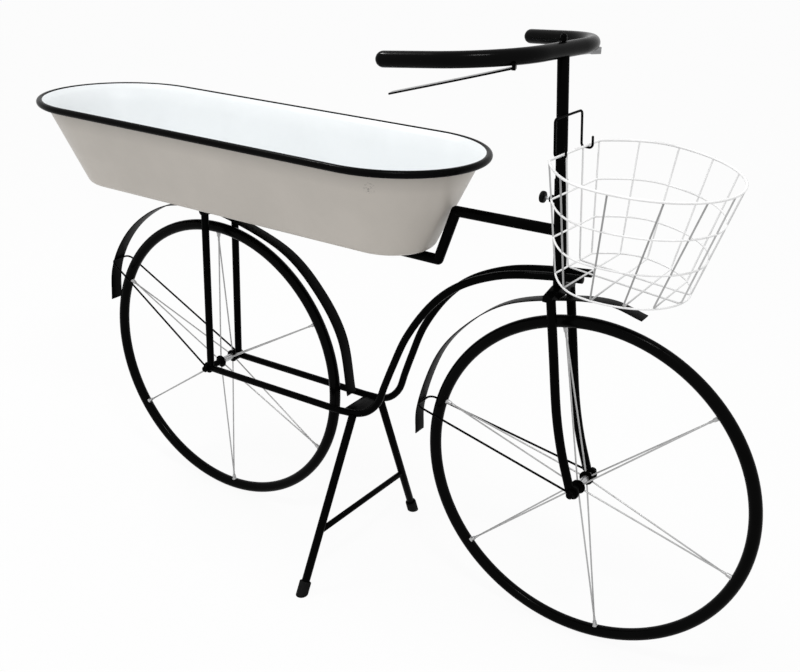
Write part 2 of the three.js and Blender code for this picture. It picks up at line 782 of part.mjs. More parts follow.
function barStations() {
  const stations = [];
  for (const side of [-1, 1]) {
    const half = [barPoint(side, barBendAngle, barArm)];
    for (let k = barArcSteps; k >= 0; k -= 1) {
      half.push(barPoint(side, (barBendAngle * k) / barArcSteps));
    }
    stations.push(...(side < 0 ? half : half.reverse()));
  }
  return stations;
}

function addHandlebar() {
  const stations = barStations();
  const tube = sweep(stations, circle(barTube));
  const ends = [stations[0], stations.at(-1)].map((end) => {
    const ball = new THREE.SphereGeometry(barTube / 2, tubeSides, tubeSides / 2);
    ball.translate(end.x, end.y, end.z);
    return ball;
  });
  const boltHole = boltCutter(boltSeatZ, barHeight + barTube);
  const seat = rod(onAxis(boltSeatZ - barTube), onAxis(barHeight), stemTube + 2 * gap, railSides);
  addPart('handlebar', cut(join(tube, ...ends), boltHole, seat), blackPaint, steering);
}

function boltCutter(low, high) {
  return rod(onAxis(low), onAxis(high), barBolt + 2 * gap, boltSides);
}

function addStem() {
  const tube = rod(onAxis(stemBottom), onAxis(barHeight - 2 * gap), stemTube, railSides);
  addPart('stem', cut(tube, boltCutter(boltSeatZ - barBoltDepth, barHeight)), blackPaint, steering);
  const seatZ = barHeight + barTube / 2 + gap;
  const along = (distance) => onAxis(seatZ + distance);
  const nut = domedNut(barNutAcross, barNutThick, barNutDome);
  nut.applyQuaternion(new THREE.Quaternion().setFromUnitVectors(new THREE.Vector3(0, 1, 0), axisDirection));
  nut.translate(...along(0));
  const shank = rod(onAxis(boltSeatZ - barBoltDepth + overrun), along(overrun), barBolt, boltSides);
  addPart('handlebar_bolt', join(nut, shank), blackPaint, steering);
}

function addLever(sideName, side) {
  const lifts = side > 0 ? leftLeverLifts : [0, 0, 0];
  const places = [leverRoot, leverMiddle, leverTip].map(([x, y, z], index) => {
    return [steeringX(barHeight) + x, side * y, barHeight + z + lifts[index]];
  });
  const stations = smooth(places, leverSteps);
  const strip = sweep(stations, rectangle(leverThick, leverWidth));
  addPart(`brake_lever_${sideName}`, strip, silverWire, steering);
  const block = new THREE.BoxGeometry(leverBlock, leverWidth + 2 * leverWall, 2 * leverBlock);
  block.translate(0, 0, leverBlock / 2);
  block.rotateZ(Math.atan2(stations[1].y - stations[0].y, stations[1].x - stations[0].x));
  block.translate(stations[0].x, stations[0].y, stations[0].z);
  const slot = sweep(stations, rectangle(leverThick + 2 * gap, leverWidth + 2 * gap));
  const bar = sweep(barStations(), circle(barTube + 2 * gap), railSides);
  addPart(`lever_bracket_${sideName}`, cut(block, slot, bar), blackPaint, steering);
}

// One wire across the front of the stem with a hook at each end, level with the basket's rim
function addHooks() {
  const top = steeringX(hookTopZ) + stemTube / 2 + gap + hookWire / 2;
  const bottomZ = basketRimZ - (basketWire + hookWire) / 2 - gap + hookSeat;
  const xAt = (z) => top + (hookTopZ - z) * axisLean;
  const front = xAt(bottomZ) + 2 * hookCup;
  const half = (side) => [
    [front - hookTipRise * axisLean, side * hookHalfSpan, bottomZ + hookTipRise],
    [front, side * hookHalfSpan, bottomZ],
    [xAt(bottomZ), side * hookHalfSpan, bottomZ],
    [top, side * hookHalfSpan, hookTopZ],
  ];
  const route = [...half(-1), ...half(1).reverse()].map(([x, y, z]) => [x, y, z + y * basketRoll]);
  const stations = roundedStations(route, hookBend);
  addPart('basket_hooks', sweep(stations, circle(hookWire), wireSides), blackPaint, steering);
}

// Basket
function basketOutline(size, frontSteps = basketFrontSteps) {
  const wide = size.depth * basketWideShare;
  const curve = [];
  for (let k = 0; k < basketSideSteps; k += 1) {
    const share = k / basketSideSteps;
    const rest = (1 - share) ** 2;
    curve.push([wide * share, -(size.half - (size.half - size.back) * rest)]);
  }
  const mirrored = curve.map(([x, y]) => [x, -y]).reverse();
  const front = [];
  for (let k = 0; k <= frontSteps; k += 1) {
    const angle = -Math.PI / 2 + (Math.PI * k) / frontSteps;
    front.push([wide + (size.depth - wide) * Math.cos(angle), size.half * Math.sin(angle)]);
  }
  return [...curve, ...front, ...mirrored];
}

function basketLevel(share) {
  const mix = (key) => basketRim[key] + (basketBase[key] - basketRim[key]) * share;
  return { back: mix('back'), half: mix('half'), depth: mix('depth'), set: mix('set') };
}

function basketPoint(share, [x, y]) {
  return [basketLevel(share).set + x, y, -basketHeight * share];
}

// The point of a level's curved side that lies a share of the way along it
function alongOutline(level, share) {
  const points = basketOutline(level, basketSearchSteps).map(([x, y]) => new THREE.Vector2(x, y));
  return new THREE.SplineCurve(points).getPointAt(share).toArray();
}

function basketRing(share, diameter) {
  const outline = basketOutline(basketLevel(share));
  const points = outline.map((point) => new THREE.Vector3(...basketPoint(share, point)));
  const closed = [...points, points[0].clone()];
  const start = points[0].clone().lerp(points.at(-1), 0.5);
  const ring = [start, ...closed.slice(0, -1), start.clone()];
  return sweep(ring, circle(diameter), wireSides);
}

function addBasket() {
  const basket = new THREE.Group();
  const x = steeringX(basketRimZ) + stemTube / 2 + gap + hookWire / 2 + hookCup + basketSet;
  basket.position.set(x, 0, basketRimZ);
  basket.rotation.set(Math.atan(basketRoll), Math.atan(-basketPitch), 0);
  steering.add(basket);
  const wires = [];
  for (let level = 0; level < basketRings; level += 1) {
    const share = level / (basketRings - 1);
    wires.push(basketRing(share, level === 0 ? basketWire : ringWire));
  }
  const rimLevel = basketLevel(0);
  const baseLevel = basketLevel(1);
  const feet = ribFootShares.map((share) => basketPoint(1, alongOutline(baseLevel, share)));
  ribTopShares.forEach((share, index) => {
    wires.push(rod(basketPoint(0, alongOutline(rimLevel, share)), feet[index], ribWire, wireSides));
  });
  for (const side of [-1, 1]) {
    const top = basketPoint(0, [0, side * rimLevel.back * backRibShare]);
    const foot = basketPoint(1, [0, side * baseLevel.back * backRibShare]);
    wires.push(rod(top, foot, ribWire, wireSides));
    const ahead = basketPoint(1, [baseLevel.depth * floorReachShare, side * baseLevel.back * backRibShare]);
    wires.push(rod(foot, ahead, ribWire, wireSides));
  }
  for (let k = 1; k <= floorWires; k += 1) {
    wires.push(rod(feet[k], feet[feet.length - 1 - k], ribWire, wireSides));
  }
  addPart('basket', join(...wires), whiteCoat, basket);
}

// The rounded edge between the tub's floor and its wall, from the floor outwards
function tubFillet(radius, level, slope) {
  const start = tubFloorRadius - tubFloorFillet * Math.tan((Math.PI / 2 - slope) / 2);
  const points = [];
  for (let k = 0; k <= tubFilletSteps; k += 1) {
    const angle = ((Math.PI / 2 - slope) * k) / tubFilletSteps;
    points.push([start + radius * Math.sin(angle), level + radius * (1 - Math.cos(angle))]);
  }
  return points;
}

// The rolled edge, from below the wall's top outwards and over
function tubBeadPoints() {
  const points = [];
  for (let k = 0; k <= tubBeadSteps; k += 1) {
    const angle = tubBeadTurn * ((2 * k) / tubBeadSteps - 1);
    points.push([tubRimRadius + (tubBead / 2) * Math.cos(angle), tubRimZ + (tubBead / 2) * Math.sin(angle)]);
  }
  return points;
}

// Tub: a turned shell cut in two and pulled apart along X
function addTub() {
  const slope = Math.atan2(tubWallTopRadius - tubFloorRadius, tubWallTopZ - tubFloorZ);
  const profile = [
    [0, tubFloorZ],
    ...tubFillet(tubFloorFillet, tubFloorZ, slope),
    [tubWallTopRadius, tubWallTopZ],
    ...tubBeadPoints(),
    [tubWallTopRadius + tubSheet, tubWallTopZ + 2 * tubSheet],
    [tubWallTopRadius - tubSheet, tubWallTopZ],
    ...tubFillet(tubFloorFillet - tubSheet, tubFloorZ + tubSheet, slope).reverse(),
    [0, tubFloorZ + tubSheet],
  ];
  const outline = profile.map(([r, z]) => new THREE.Vector2(r, z));
  const shell = new THREE.LatheGeometry(outline, tubSegments);
  pullApart(shell, profile.length, tubSegments);
  shell.rotateX(Math.PI / 2);
  shell.translate(tubX, 0, 0);
  addPart('tub', cut(shell, ...screwHoles()), enamel);
}

function pullApart(shell, profileLength, segments) {
  shell.rotateY(Math.PI / segments);
  const position = shell.attributes.position;
  for (let i = 0; i < position.count; i += 1) {
    const turn = (2 * Math.PI * (Math.floor(i / profileLength) + 0.5)) / segments;
    position.setX(i, position.getX(i) + Math.sign(Math.sin(turn)) * tubHalfStraight);
  }
}

function screwHoles() {
  const low = railHeight - railTube;
  const high = railHeight + railTube;
  return tubScrewXs.map((x) => rod([x, 0, low], [x, 0, high], tubScrew + 2 * gap, boltSides));
}

function addTubScrews() {
  const headBase = tubFloorZ + tubSheet + gap;
  const headCrown = headBase + tubScrewHeadThick;
  const nutTop = railHeight - railTube / 2 - gap;
  const nutBase = nutTop - tubNutThick;
  tubScrewXs.forEach((x, index) => {
    const head = rod([x, 0, headBase], [x, 0, headCrown], tubScrewHead, turnedSides, tubScrewHeadTop);
    const shank = rod([x, 0, nutBase - overrun], [x, 0, headBase + gap], tubScrew, boltSides);
    const nut = rod([x, 0, nutBase], [x, 0, nutTop], tubNutAcross, hexSides);
    addPart(`tub_bolt_${index + 1}`, join(head, shank, nut), zinc);
  });
}

addWheel('rear', 0, rearSpokeAngles, rearHubEnd, rearHubShift);
addWheel('front', wheelbase, frontSpokeAngles, frontHubEnd, frontHubShift);
addAxle('rear', 0, rearHalfTrack);
addAxle('front', wheelbase, forkHalfTrack);
for (const [sideName, side] of [['left', 1], ['right', -1]]) {
  addStay(sideName, side);
  addMainTube(sideName, side);
  addLever(sideName, side);
}
addSupport();
addBridge();
addHead();
addFork();
addGuard('rear', 0, rearGuardShares);
addGuard('front', wheelbase, frontGuardShares);
addGuardStay('rear', 0, rearGuardShares, rearStayAngle, rearHalfTrack);
addGuardStay('front', wheelbase, frontGuardShares, frontStayAngle, forkHalfTrack);
addStand();
addStem();
addHandlebar();
addHooks();
addBasket();
addTub();
addTubScrews();
pieces.add(steering);

// The origin is the middle of the footprint on the ground
const bicycle = new THREE.Group();
bicycle.add(pieces);
bicycle.updateMatrixWorld(true);
const bounds = new THREE.Box3().setFromObject(bicycle, true);
const centre = bounds.getCenter(new THREE.Vector3());
pieces.position.set(-centre.x, -centre.y, -bounds.min.z);

export default bicycle;
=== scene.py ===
"""The looks of the bicycle planter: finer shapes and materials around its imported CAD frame."""

import math

import bmesh
import bpy
from mathutils import Matrix, Vector


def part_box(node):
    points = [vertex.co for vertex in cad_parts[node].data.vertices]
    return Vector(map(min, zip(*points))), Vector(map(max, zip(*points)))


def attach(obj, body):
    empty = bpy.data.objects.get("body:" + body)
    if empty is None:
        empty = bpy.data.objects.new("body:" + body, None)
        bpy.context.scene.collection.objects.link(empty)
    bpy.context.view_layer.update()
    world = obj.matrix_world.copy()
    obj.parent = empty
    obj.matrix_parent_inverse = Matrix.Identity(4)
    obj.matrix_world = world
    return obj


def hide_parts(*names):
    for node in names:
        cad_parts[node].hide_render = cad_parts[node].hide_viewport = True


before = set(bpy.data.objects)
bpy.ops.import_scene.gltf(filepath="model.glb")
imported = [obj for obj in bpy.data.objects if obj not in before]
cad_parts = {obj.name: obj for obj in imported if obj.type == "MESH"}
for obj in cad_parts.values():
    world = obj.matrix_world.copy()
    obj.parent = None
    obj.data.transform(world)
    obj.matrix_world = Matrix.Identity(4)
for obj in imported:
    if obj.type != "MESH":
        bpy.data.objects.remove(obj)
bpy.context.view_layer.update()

# The bicycle's own frame: millimetres from the rear axle, the middle plane and the ground
hub_low, hub_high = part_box("rear_hub")
REAR = (hub_low + hub_high) / 2
HUB_Z = 311.0


def place(point):
    """A point in millimetres in the bicycle's frame, in metres in the row's frame."""
    x, y, z = point
    return Vector((REAR.x + x / 1000, REAR.y + y / 1000, z / 1000))


# Sizes in millimetres, as in the CAD source
GAP = 0.3
RING_RADIUS = 300
RING_TUBE = 22
WHEELBASE = 838
HUB_BARREL = 13
HUB_FLANGE = 26
FLANGE_THICK = 3
FLANGE_SPACING = 36
HUB_SHIFT = {"rear": 12, "front": 3}
HUB_END = {"rear": 35, "front": 29.5}
AXLE = 8
SPOKE_WIRE = 3
NUT_ACROSS = 15
NUT_HEIGHT = 6
NUT_DOME = 4
NUB = 8
NUB_TIP = 6.4
NUB_LENGTH = 9
FERRULE = 4.4
FERRULE_LENGTH = 9
SPOKES = {"rear": (31, 90, 155, 216, 274.5, 334), "front": (43, 102.5, 165, 224.5, 282, 344)}
EYE = 24
EYE_THICK = 6
WIRE_EYE = 16
WIRE_EYE_THICK = 4
STAY_TUBE = 15
STAY_LEAD = 5.5
MAIN_TUBE = 14
REAR_TRACK = 44
RAIL_TUBE = 19
RAIL_Z = 657
RAIL_LENGTH = 522
STRUT_TOP_X = 552
TOP_TUBE_Z = 752
TOP_TUBE_RISE = 4
MAIN_NOSE = 48
MAIN_NOSE_RISE = 6
MAIN_ROUTE = (
    (0.412, 1, 0.015),
    (0.458, 0.955, 0.028),
    (0.487, 0.91, 0.059),
    (0.511, 0.864, 0.123),
    (0.526, 0.818, 0.225),
    (0.543, 0.773, 0.338),
    (0.575, 0.682, 0.525),
    (0.634, 0.591, 0.729),
    (0.692, 0.523, 0.847),
    (0.783, 0.455, 0.945),
)
HEAD_BOTTOM = 662
HEAD_LENGTH = 180
HEAD_TUBE = 22
HEAD_BORE = 9.8
CLAMP_Z = 807
BOSS_LENGTH = 8
CLAMP_SCREW = 6
STEM_TUBE = 19
STEM_BOTTOM = 702
AXIS_X = 723.6
AXIS_Z = 1024.4
LEAN = 0.0917
HEAD_TRACK = 18.3
STEER = math.radians(-7.1)
FORK_TUBE = 16
FORK_TRACK = 39
CROWN_HEIGHT = 15
FORK_LEAD = 3
FORK_ROUTE = ((0, 1), (0.184, 0.733), (0.421, 0.398), (0.632, 0.205))
GUARD_WIDTH = 29
GUARD_THICK = 2
GUARD_WIRE = 4
GUARD_WIRE_BEND = 14
GUARD_WIRE_SPAN = 26
GUARDS = {
    "rear": (
        (168, 1.093),
        (156, 1.141),
        (144, 1.163),
        (130, 1.171),
        (114, 1.169),
        (100, 1.14),
        (90, 1.118),
        (58, 1.127),
        (40, 1.139),
        (24, 1.151),
        (4, 1.14),
    ),
    "front": (
        (181, 1.125),
        (172, 1.138),
        (150, 1.152),
        (135, 1.153),
        (120, 1.154),
        (102, 1.137),
        (88, 1.152),
        (78, 1.135),
    ),
}
STAY_ANGLES = {"rear": 150.5, "front": 169.5}
STAND_TUBE = 16
STAND_TOP = (377, 47, HUB_Z + 6)
STAND_FOOT = (391, 189)
STAND_SKEW = 7.6
STAND_SHIFT = -25.6
STAND_BAR = 12
STAND_BAR_Z = 111
FOOT = 23
FOOT_LENGTH = 26
FOOT_BASE = 6
BAR_TUBE = 25
BAR_BOLT = 6.5
BAR_BOLT_DOME = 5.46
BAR_Z = 1041
BAR_FRONT = 51
BAR_BEND = 137
BAR_ANGLE = math.radians(78.3)
BAR_ARM = 82
BAR_DROP = math.radians(5.3)
LEVER = ((-10, 117, 1025), (-88, 156, 1001), (-192, 180, 970))
LEVER_WIDTH = 16
LEVER_THICK = 3
LEVER_LIFTS = {"left": (0, 5.5, 9), "right": (0, 0, 0)}
HOOK_WIRE = 4
HOOK_SPAN = 40
HOOK_TOP = 945
HOOK_CUP = 10.2
HOOK_RISE = 18
HOOK_BEND = 6
HOOK_SEAT = 0.4
BASKET_WIRE = 4.2
RING_WIRE = 3.2
RIB_WIRE = 2.9
BASKET_HEIGHT = 186
BASKET_RINGS = 4
BASKET_RIM_Z = 892
BASKET_SET = 2
BASKET_RIM = {"back": 75, "half": 143, "depth": 273, "set": 0}
BASKET_BASE = {"back": 57, "half": 106, "depth": 199, "set": 25}
BASKET_PITCH = -0.056
BASKET_ROLL = 0.047
BASKET_WIDE = 0.375
RIB_TOPS = (0, 0.1, 0.218, 0.3235, 0.41, 0.484, 0.55, 0.6395, 0.734, 0.8225, 0.909, 1)
RIB_FEET = (0, 0.1, 0.2025, 0.294, 0.3785, 0.476, 0.55, 0.645, 0.735, 0.825, 0.91, 1)
BACK_RIB = 0.33
TUB_STRAIGHT = 330
TUB_X = 86
TUB_RIM_Z = 837
TUB_RIM_RADIUS = 170.4
TUB_BEAD = 13.4
TUB_SHEET = 2
TUB_WALL_TOP_RADIUS = 158
TUB_WALL_TOP_Z = 831
TUB_FLOOR_RADIUS = 84
TUB_FILLET = 18

# Stage: metres, watts and shares of white
FLOOR_REACH = 30.0
FLOOR_GLOW = 0.93
WORLD_LIGHT = 0.75
WORLD_SEEN = 1.0
LAMP_SIZE = (0.6, 0.12)
LAMPS = {
    "key": ((-1.5, -0.25, 3.05), (0, 0, 0.6), 26),
    "fill": ((0.9, -1.0, 3.0), (0.2, 0, 0.6), 22),
}
EDGE_WIDTH = 0.0007
WELD_DISTANCE = 1e-5

# Camera: its focal length in pixels of the picture, its turns in degrees and its place in ring radii
FOCAL_PIXELS = 1017.6
PICTURE_WIDTH = 800
SENSOR_WIDTH = 36
CAMERA_TURNS = (122.02, 23.52, -2.38)
CAMERA_PLACE = (4.59254, -4.95387, 3.13552)


# Curves
def lerp(a, b, share):
    return a + (b - a) * share


def steering_x(z):
    return AXIS_X + (AXIS_Z - z) * LEAN


def on_axis(z):
    return Vector((steering_x(z), 0, z))


def smooth(points, steps):
    """Evenly spaced points of a centripetal curve through the given ones, as the CAD source takes them."""
    p = [Vector(point) for point in points]
    p = [2 * p[0] - p[1], *p, 2 * p[-1] - p[-2]]
    fine = []
    parts = 40
    for i in range(1, len(p) - 2):
        four = p[i - 1 : i + 3]
        knots = [0.0]
        for a, b in zip(four, four[1:]):
            knots.append(knots[-1] + max((b - a).length, 1e-6) ** 0.5)
        t0, t1, t2, t3 = knots
        for k in range(parts):
            t = lerp(t1, t2, k / parts)
            a1 = four[0] * ((t1 - t) / (t1 - t0)) + four[1] * ((t - t0) / (t1 - t0))
            a2 = four[1] * ((t2 - t) / (t2 - t1)) + four[2] * ((t - t1) / (t2 - t1))
            a3 = four[2] * ((t3 - t) / (t3 - t2)) + four[3] * ((t - t2) / (t3 - t2))
            b1 = a1 * ((t2 - t) / (t2 - t0)) + a2 * ((t - t0) / (t2 - t0))
            b2 = a2 * ((t3 - t) / (t3 - t1)) + a3 * ((t - t1) / (t3 - t1))
            fine.append(b1 * ((t2 - t) / (t2 - t1)) + b2 * ((t - t1) / (t2 - t1)))
    fine.append(p[-2])
    return evenly(fine, steps)


def evenly(points, steps):
    """The same line with evenly spaced points."""
    lengths = [0.0]
    for a, b in zip(points, points[1:]):
        lengths.append(lengths[-1] + (b - a).length)
    out = []
    j = 0
    for k in range(steps + 1):
        want = lengths[-1] * k / steps
        while j < len(points) - 2 and lengths[j + 1] < want:
            j += 1
        span = max(lengths[j + 1] - lengths[j], 1e-9)
        out.append(points[j].lerp(points[j + 1], min(max((want - lengths[j]) / span, 0), 1)))
    return out


def rounded(corners, bend, steps=8):
    """Straight lines with round corners."""
    points = [Vector(corner) for corner in corners]
    out = [points[0]]
    for before, here, after in zip(points, points[1:], points[2:]):
        back = (before - here).normalized()
        ahead = (after - here).normalized()
        corner = back.angle(ahead)
        start = here + back * (bend / math.tan(corner / 2))
        centre = here + (back + ahead).normalized() * (bend / math.sin(corner / 2))
        spoke = start - centre
        for k in range(steps + 1):
            angle = (math.pi - corner) * k / steps
            out.append(centre + spoke * math.cos(angle) - back * (bend * math.sin(angle)))
    out.append(points[-1])
    return out


def wheel_point(x, degrees, radius, y=0.0):
    turn = math.radians(degrees)
    return Vector((x + radius * math.cos(turn), y, HUB_Z + radius * math.sin(turn)))


# Meshes are lists of points in millimetres and faces with a material number
class Shape:
    def __init__(self):
        self.points = []
        self.faces = []
        self.kinds = []

    def add(self, points, faces, kind=0):
        base = len(self.points)
        self.points += [Vector(point) for point in points]
        for index, face in enumerate(faces):
            self.faces.append([base + i for i in face])
            self.kinds.append(kind[index] if isinstance(kind, list) else kind)
        return self

    def join(self, other):
        return self.add(other.points, other.faces, list(other.kinds))

    def moved(self, change):
        self.points = [change @ point for point in self.points]
        return self


def circle_section(diameter, sides):
    return [
        (diameter / 2 * math.cos(2 * math.pi * k / sides), diameter / 2 * math.sin(2 * math.pi * k / sides))
        for k in range(sides)
    ]


def bar_section(width, height, edge, steps=3):
    """A rectangle with round edges."""
    out = []
    for sx, sy, first in ((1, 1, 0), (-1, 1, 90), (-1, -1, 180), (1, -1, 270)):
        for k in range(steps + 1):
            angle = math.radians(first + 90 * k / steps)
            out.append(
                (
                    sx * (width / 2 - edge) + edge * math.cos(angle),
                    sy * (height / 2 - edge) + edge * math.sin(angle),
                )
            )
    return out


def sweep(path, section, closed=False, up=None, caps=True, kinds=None):
    """A section along a path, mitred where the path turns."""
    path = [Vector(point) for point in path]
    count = len(path)
    spans = count if closed else count - 1
    ways = [(path[(i + 1) % count] - path[i]).normalized() for i in range(spans)]
    first = ways[0]
    if up is None:
        up = Vector((0, 0, 1)) if abs(first.z) < 0.9 else Vector((1, 0, 0))
    across = up.cross(first).normalized()
    normal = first.cross(across).normalized()
    shape = Shape()
    rings = []
    way = first
    before = ways[-1] if closed else first
    for i, point in enumerate(path):
        ahead = ways[i] if i < len(ways) else ways[-1]
        back = ways[i - 1] if i > 0 else before
        if i > 0:
            turn = way.rotation_difference(back)
            across = turn @ across
            normal = turn @ normal
            way = back
        plane = (back + ahead).normalized()
        ring = []
        for u, v in section:
            offset = across * u + normal * v
            if i == 0 and closed:
                flat = offset - plane * offset.dot(plane)
                ring.append(point + flat.normalized() * offset.length)
            else:
                ring.append(point + offset - way * (offset.dot(plane) / way.dot(plane)))
        rings.append(ring)
    size = len(section)
    points = [point for ring in rings for point in ring]
    faces = []
    for i in range(spans):
        j = (i + 1) % count
        for k in range(size):
            m = (k + 1) % size
            faces.append([i * size + k, i * size + m, j * size + m, j * size + k])
    face_kinds = [kinds[index % size] if kinds else 0 for index in range(len(faces))]
    if caps and not closed:
        faces.append(list(range(size))[::-1])
        faces.append([(count - 1) * size + k for k in range(size)])
        face_kinds += [0, 0]
    shape.add(points, faces, face_kinds)
    return shape


def tube(path, diameter, sides=24, closed=False, ends="flat"):
    """A round tube along a path, with flat ends whose edges are broken, or round ends."""
    path = [Vector(point) for point in path]
    if closed:
        return sweep(path, circle_section(diameter, sides), closed=True)
    first = (path[1] - path[0]).normalized()
    last = (path[-1] - path[-2]).normalized()
    steps = 6 if ends == "round" else 2
    reach = diameter / 2 if ends == "round" else min(0.8, diameter * 0.08)
    body = sweep(path, circle_section(diameter, sides), caps=False)
    start_ring = body.points[:sides]
    end_ring = body.points[-sides:]
    for ring, middle, way in ((start_ring, path[0], -first), (end_ring, path[-1], last)):
        shape = Shape()
        points = list(ring)
        for k in range(1, steps + 1):
            angle = math.pi / 2 * k / steps
            if ends == "round":
                scale = math.cos(angle)
                if k == steps:
                    continue
            else:
                scale = 1 - (reach / (diameter / 2)) * (1 - math.cos(angle))
            points += [middle + (p - middle) * scale + way * (reach * math.sin(angle)) for p in ring]
        layers = len(points) // sides
        faces = []
        for i in range(layers - 1):
            for k in range(sides):
                m = (k + 1) % sides
                faces.append([i * sides + k, i * sides + m, (i + 1) * sides + m, (i + 1) * sides + k])
        if ends == "round":
            points.append(middle + way * reach)
            top = len(points) - 1
            for k in range(sides):
                faces.append([(layers - 1) * sides + k, (layers - 1) * sides + (k + 1) % sides, top])
        else:
            faces.append([(layers - 1) * sides + k for k in range(sides)])
        shape.add(points, faces)
        body.join(shape)
    return body


def lathe(profile, start, way, sides=48, kind=0):
    """A profile of (radius, distance) turned about a line."""
    start = Vector(start)
    way = Vector(way).normalized()
    side = way.orthogonal().normalized()
    other = way.cross(side)
    points = []
    faces = []
    for r, d in profile:
        for k in range(sides):
            angle = 2 * math.pi * k / sides
            out = side * math.cos(angle) + other * math.sin(angle)
            points.append(start + way * d + out * max(r, 1e-4))
    for i in range(len(profile) - 1):
        for k in range(sides):
            m = (k + 1) % sides
            faces.append([i * sides + k, i * sides + m, (i + 1) * sides + m, (i + 1) * sides + k])
    return Shape().add(points, faces, kind)


def disc(start, way, radius, length, hole=0.0, edge=0.5, sides=48):
    """A disc or ring with broken edges."""
    profile = [
        (hole, edge if hole else 0),
        (hole + edge if hole else 0, 0),
        (radius - edge, 0),
        (radius - edge * 0.3, edge * 0.3),
        (radius, edge),
        (radius, length - edge),
        (radius - edge * 0.3, length - edge * 0.3),
        (radius - edge, length),
        (hole + edge if hole else 0, length),
        (hole, length - edge if hole else length),
    ]
    if hole:
        profile.append(profile[0])
    return lathe(profile, start, way, sides)


def torus(x, z, radius, thick, around=160, sides=28):
    turns = [2 * math.pi * k / around for k in range(around)]
    path = [(x + radius * math.cos(turn), 0, z + radius * math.sin(turn)) for turn in turns]
    return sweep(path, circle_section(thick, sides), closed=True)


def build(name, shape, materials, body, nodes, sharp=35.0):
    """Makes the object of a shape, rides it on its body and hides the CAD nodes that it stands for."""
    mesh = bpy.data.meshes.new(name)
    mesh.from_pydata([place(point) for point in shape.points], [], shape.faces)
    for material in materials:
        mesh.materials.append(material)
    for polygon, kind in zip(mesh.polygons, shape.kinds):
        polygon.material_index = kind
        polygon.use_smooth = True
    mesh.validate()
    work = bmesh.new()
    work.from_mesh(mesh)
    bmesh.ops.remove_doubles(work, verts=work.verts, dist=2e-6)
    bmesh.ops.recalc_face_normals(work, faces=work.faces)
    work.to_mesh(mesh)
    work.free()
    mesh.set_sharp_from_angle(angle=math.radians(sharp))
    obj = bpy.data.objects.new(name, mesh)
    bpy.context.scene.collection.objects.link(obj)
    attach(obj, body)
    if nodes:
        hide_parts(*nodes)
    return obj


# Materials
class Nodes:
    def __init__(self, name):
        self.material = bpy.data.materials.new(name)
        self.material.use_nodes = True
        self.tree = self.material.node_tree
        self.shader = self.tree.nodes["Principled BSDF"]
        self.coords = self.tree.nodes.new("ShaderNodeTexCoord")

    def set(self, **values):
        for key, value in values.items():
            self.shader.inputs[key.replace("_", " ")].default_value = value
        return self

    def noise(self, scale, detail=3.0, rough=0.5, stretch=None):
        node = self.tree.nodes.new("ShaderNodeTexNoise")
        node.inputs["Scale"].default_value = scale
        node.inputs["Detail"].default_value = detail
        node.inputs["Roughness"].default_value = rough
        source = self.coords.outputs["Object"]
        if stretch:
            mapping = self.tree.nodes.new("ShaderNodeMapping")
            mapping.inputs["Scale"].default_value = stretch
            self.tree.links.new(source, mapping.inputs["Vector"])
            source = mapping.outputs["Vector"]
        self.tree.links.new(source, node.inputs["Vector"])
        return node.outputs["Fac"]

    def ramp(self, source, stops):
        node = self.tree.nodes.new("ShaderNodeValToRGB")
        elements = node.color_ramp.elements
        while len(elements) < len(stops):
            elements.new(0.5)
        for element, (position, colour) in zip(elements, stops):
            element.position = position
            element.color = (*colour, 1) if isinstance(colour, tuple) else (colour, colour, colour, 1)
        self.tree.links.new(source, node.inputs["Fac"])
        return node.outputs["Color"]

    def range(self, source, low, high, start=0.0, stop=1.0):
        node = self.tree.nodes.new("ShaderNodeMapRange")
        node.inputs["From Min"].default_value = start
        node.inputs["From Max"].default_value = stop
        node.inputs["To Min"].default_value = low
        node.inputs["To Max"].default_value = high
        self.tree.links.new(source, node.inputs["Value"])
        return node.outputs["Result"]

    def mix(self, share, first, second):
        node = self.tree.nodes.new("ShaderNodeMix")
        node.data_type = "RGBA"
        self.tree.links.new(share, node.inputs["Factor"])
        a = next(s for s in node.inputs if s.name == "A" and s.type == "RGBA")
        b = next(s for s in node.inputs if s.name == "B" and s.type == "RGBA")
        for socket, value in ((a, first), (b, second)):
            if isinstance(value, tuple):
                socket.default_value = (*value, 1)
            else:
                self.tree.links.new(value, socket)
        return next(s for s in node.outputs if s.type == "RGBA")

    def maths(self, operation, first, second):
        node = self.tree.nodes.new("ShaderNodeMath")
        node.operation = operation
        for socket, value in zip(node.inputs, (first, second)):
            if isinstance(value, (int, float)):
                socket.default_value = value
            else:
                self.tree.links.new(value, socket)
        return node.outputs[0]

    def link(self, output, name):
        self.tree.links.new(output, self.shader.inputs[name])
        return self

    def bump(self, source, strength, distance):
        node = self.tree.nodes.new("ShaderNodeBump")
        node.inputs["Strength"].default_value = strength
        node.inputs["Distance"].default_value = distance
        self.tree.links.new(source, node.inputs["Height"])
        self.tree.links.new(node.outputs["Normal"], self.shader.inputs["Normal"])
        return self


def black_paint(name, base=0.0008, rough=0.24, specular=0.012, coat=0.006):
    n = Nodes(name)
    n.set(Metallic=0.0, Specular_IOR_Level=specular, Coat_Weight=coat, Coat_Roughness=0.1)
    cloud = n.noise(14, 4, 0.6)
    n.link(n.ramp(cloud, ((0.3, base * 0.7), (0.7, base * 1.6))), "Base Color")
    fine = n.noise(90, 3, 0.5)
    n.link(n.range(fine, rough - 0.05, rough + 0.1), "Roughness")
    n.bump(n.noise(420, 2, 0.5), 0.12, 0.0006)
    return n.material


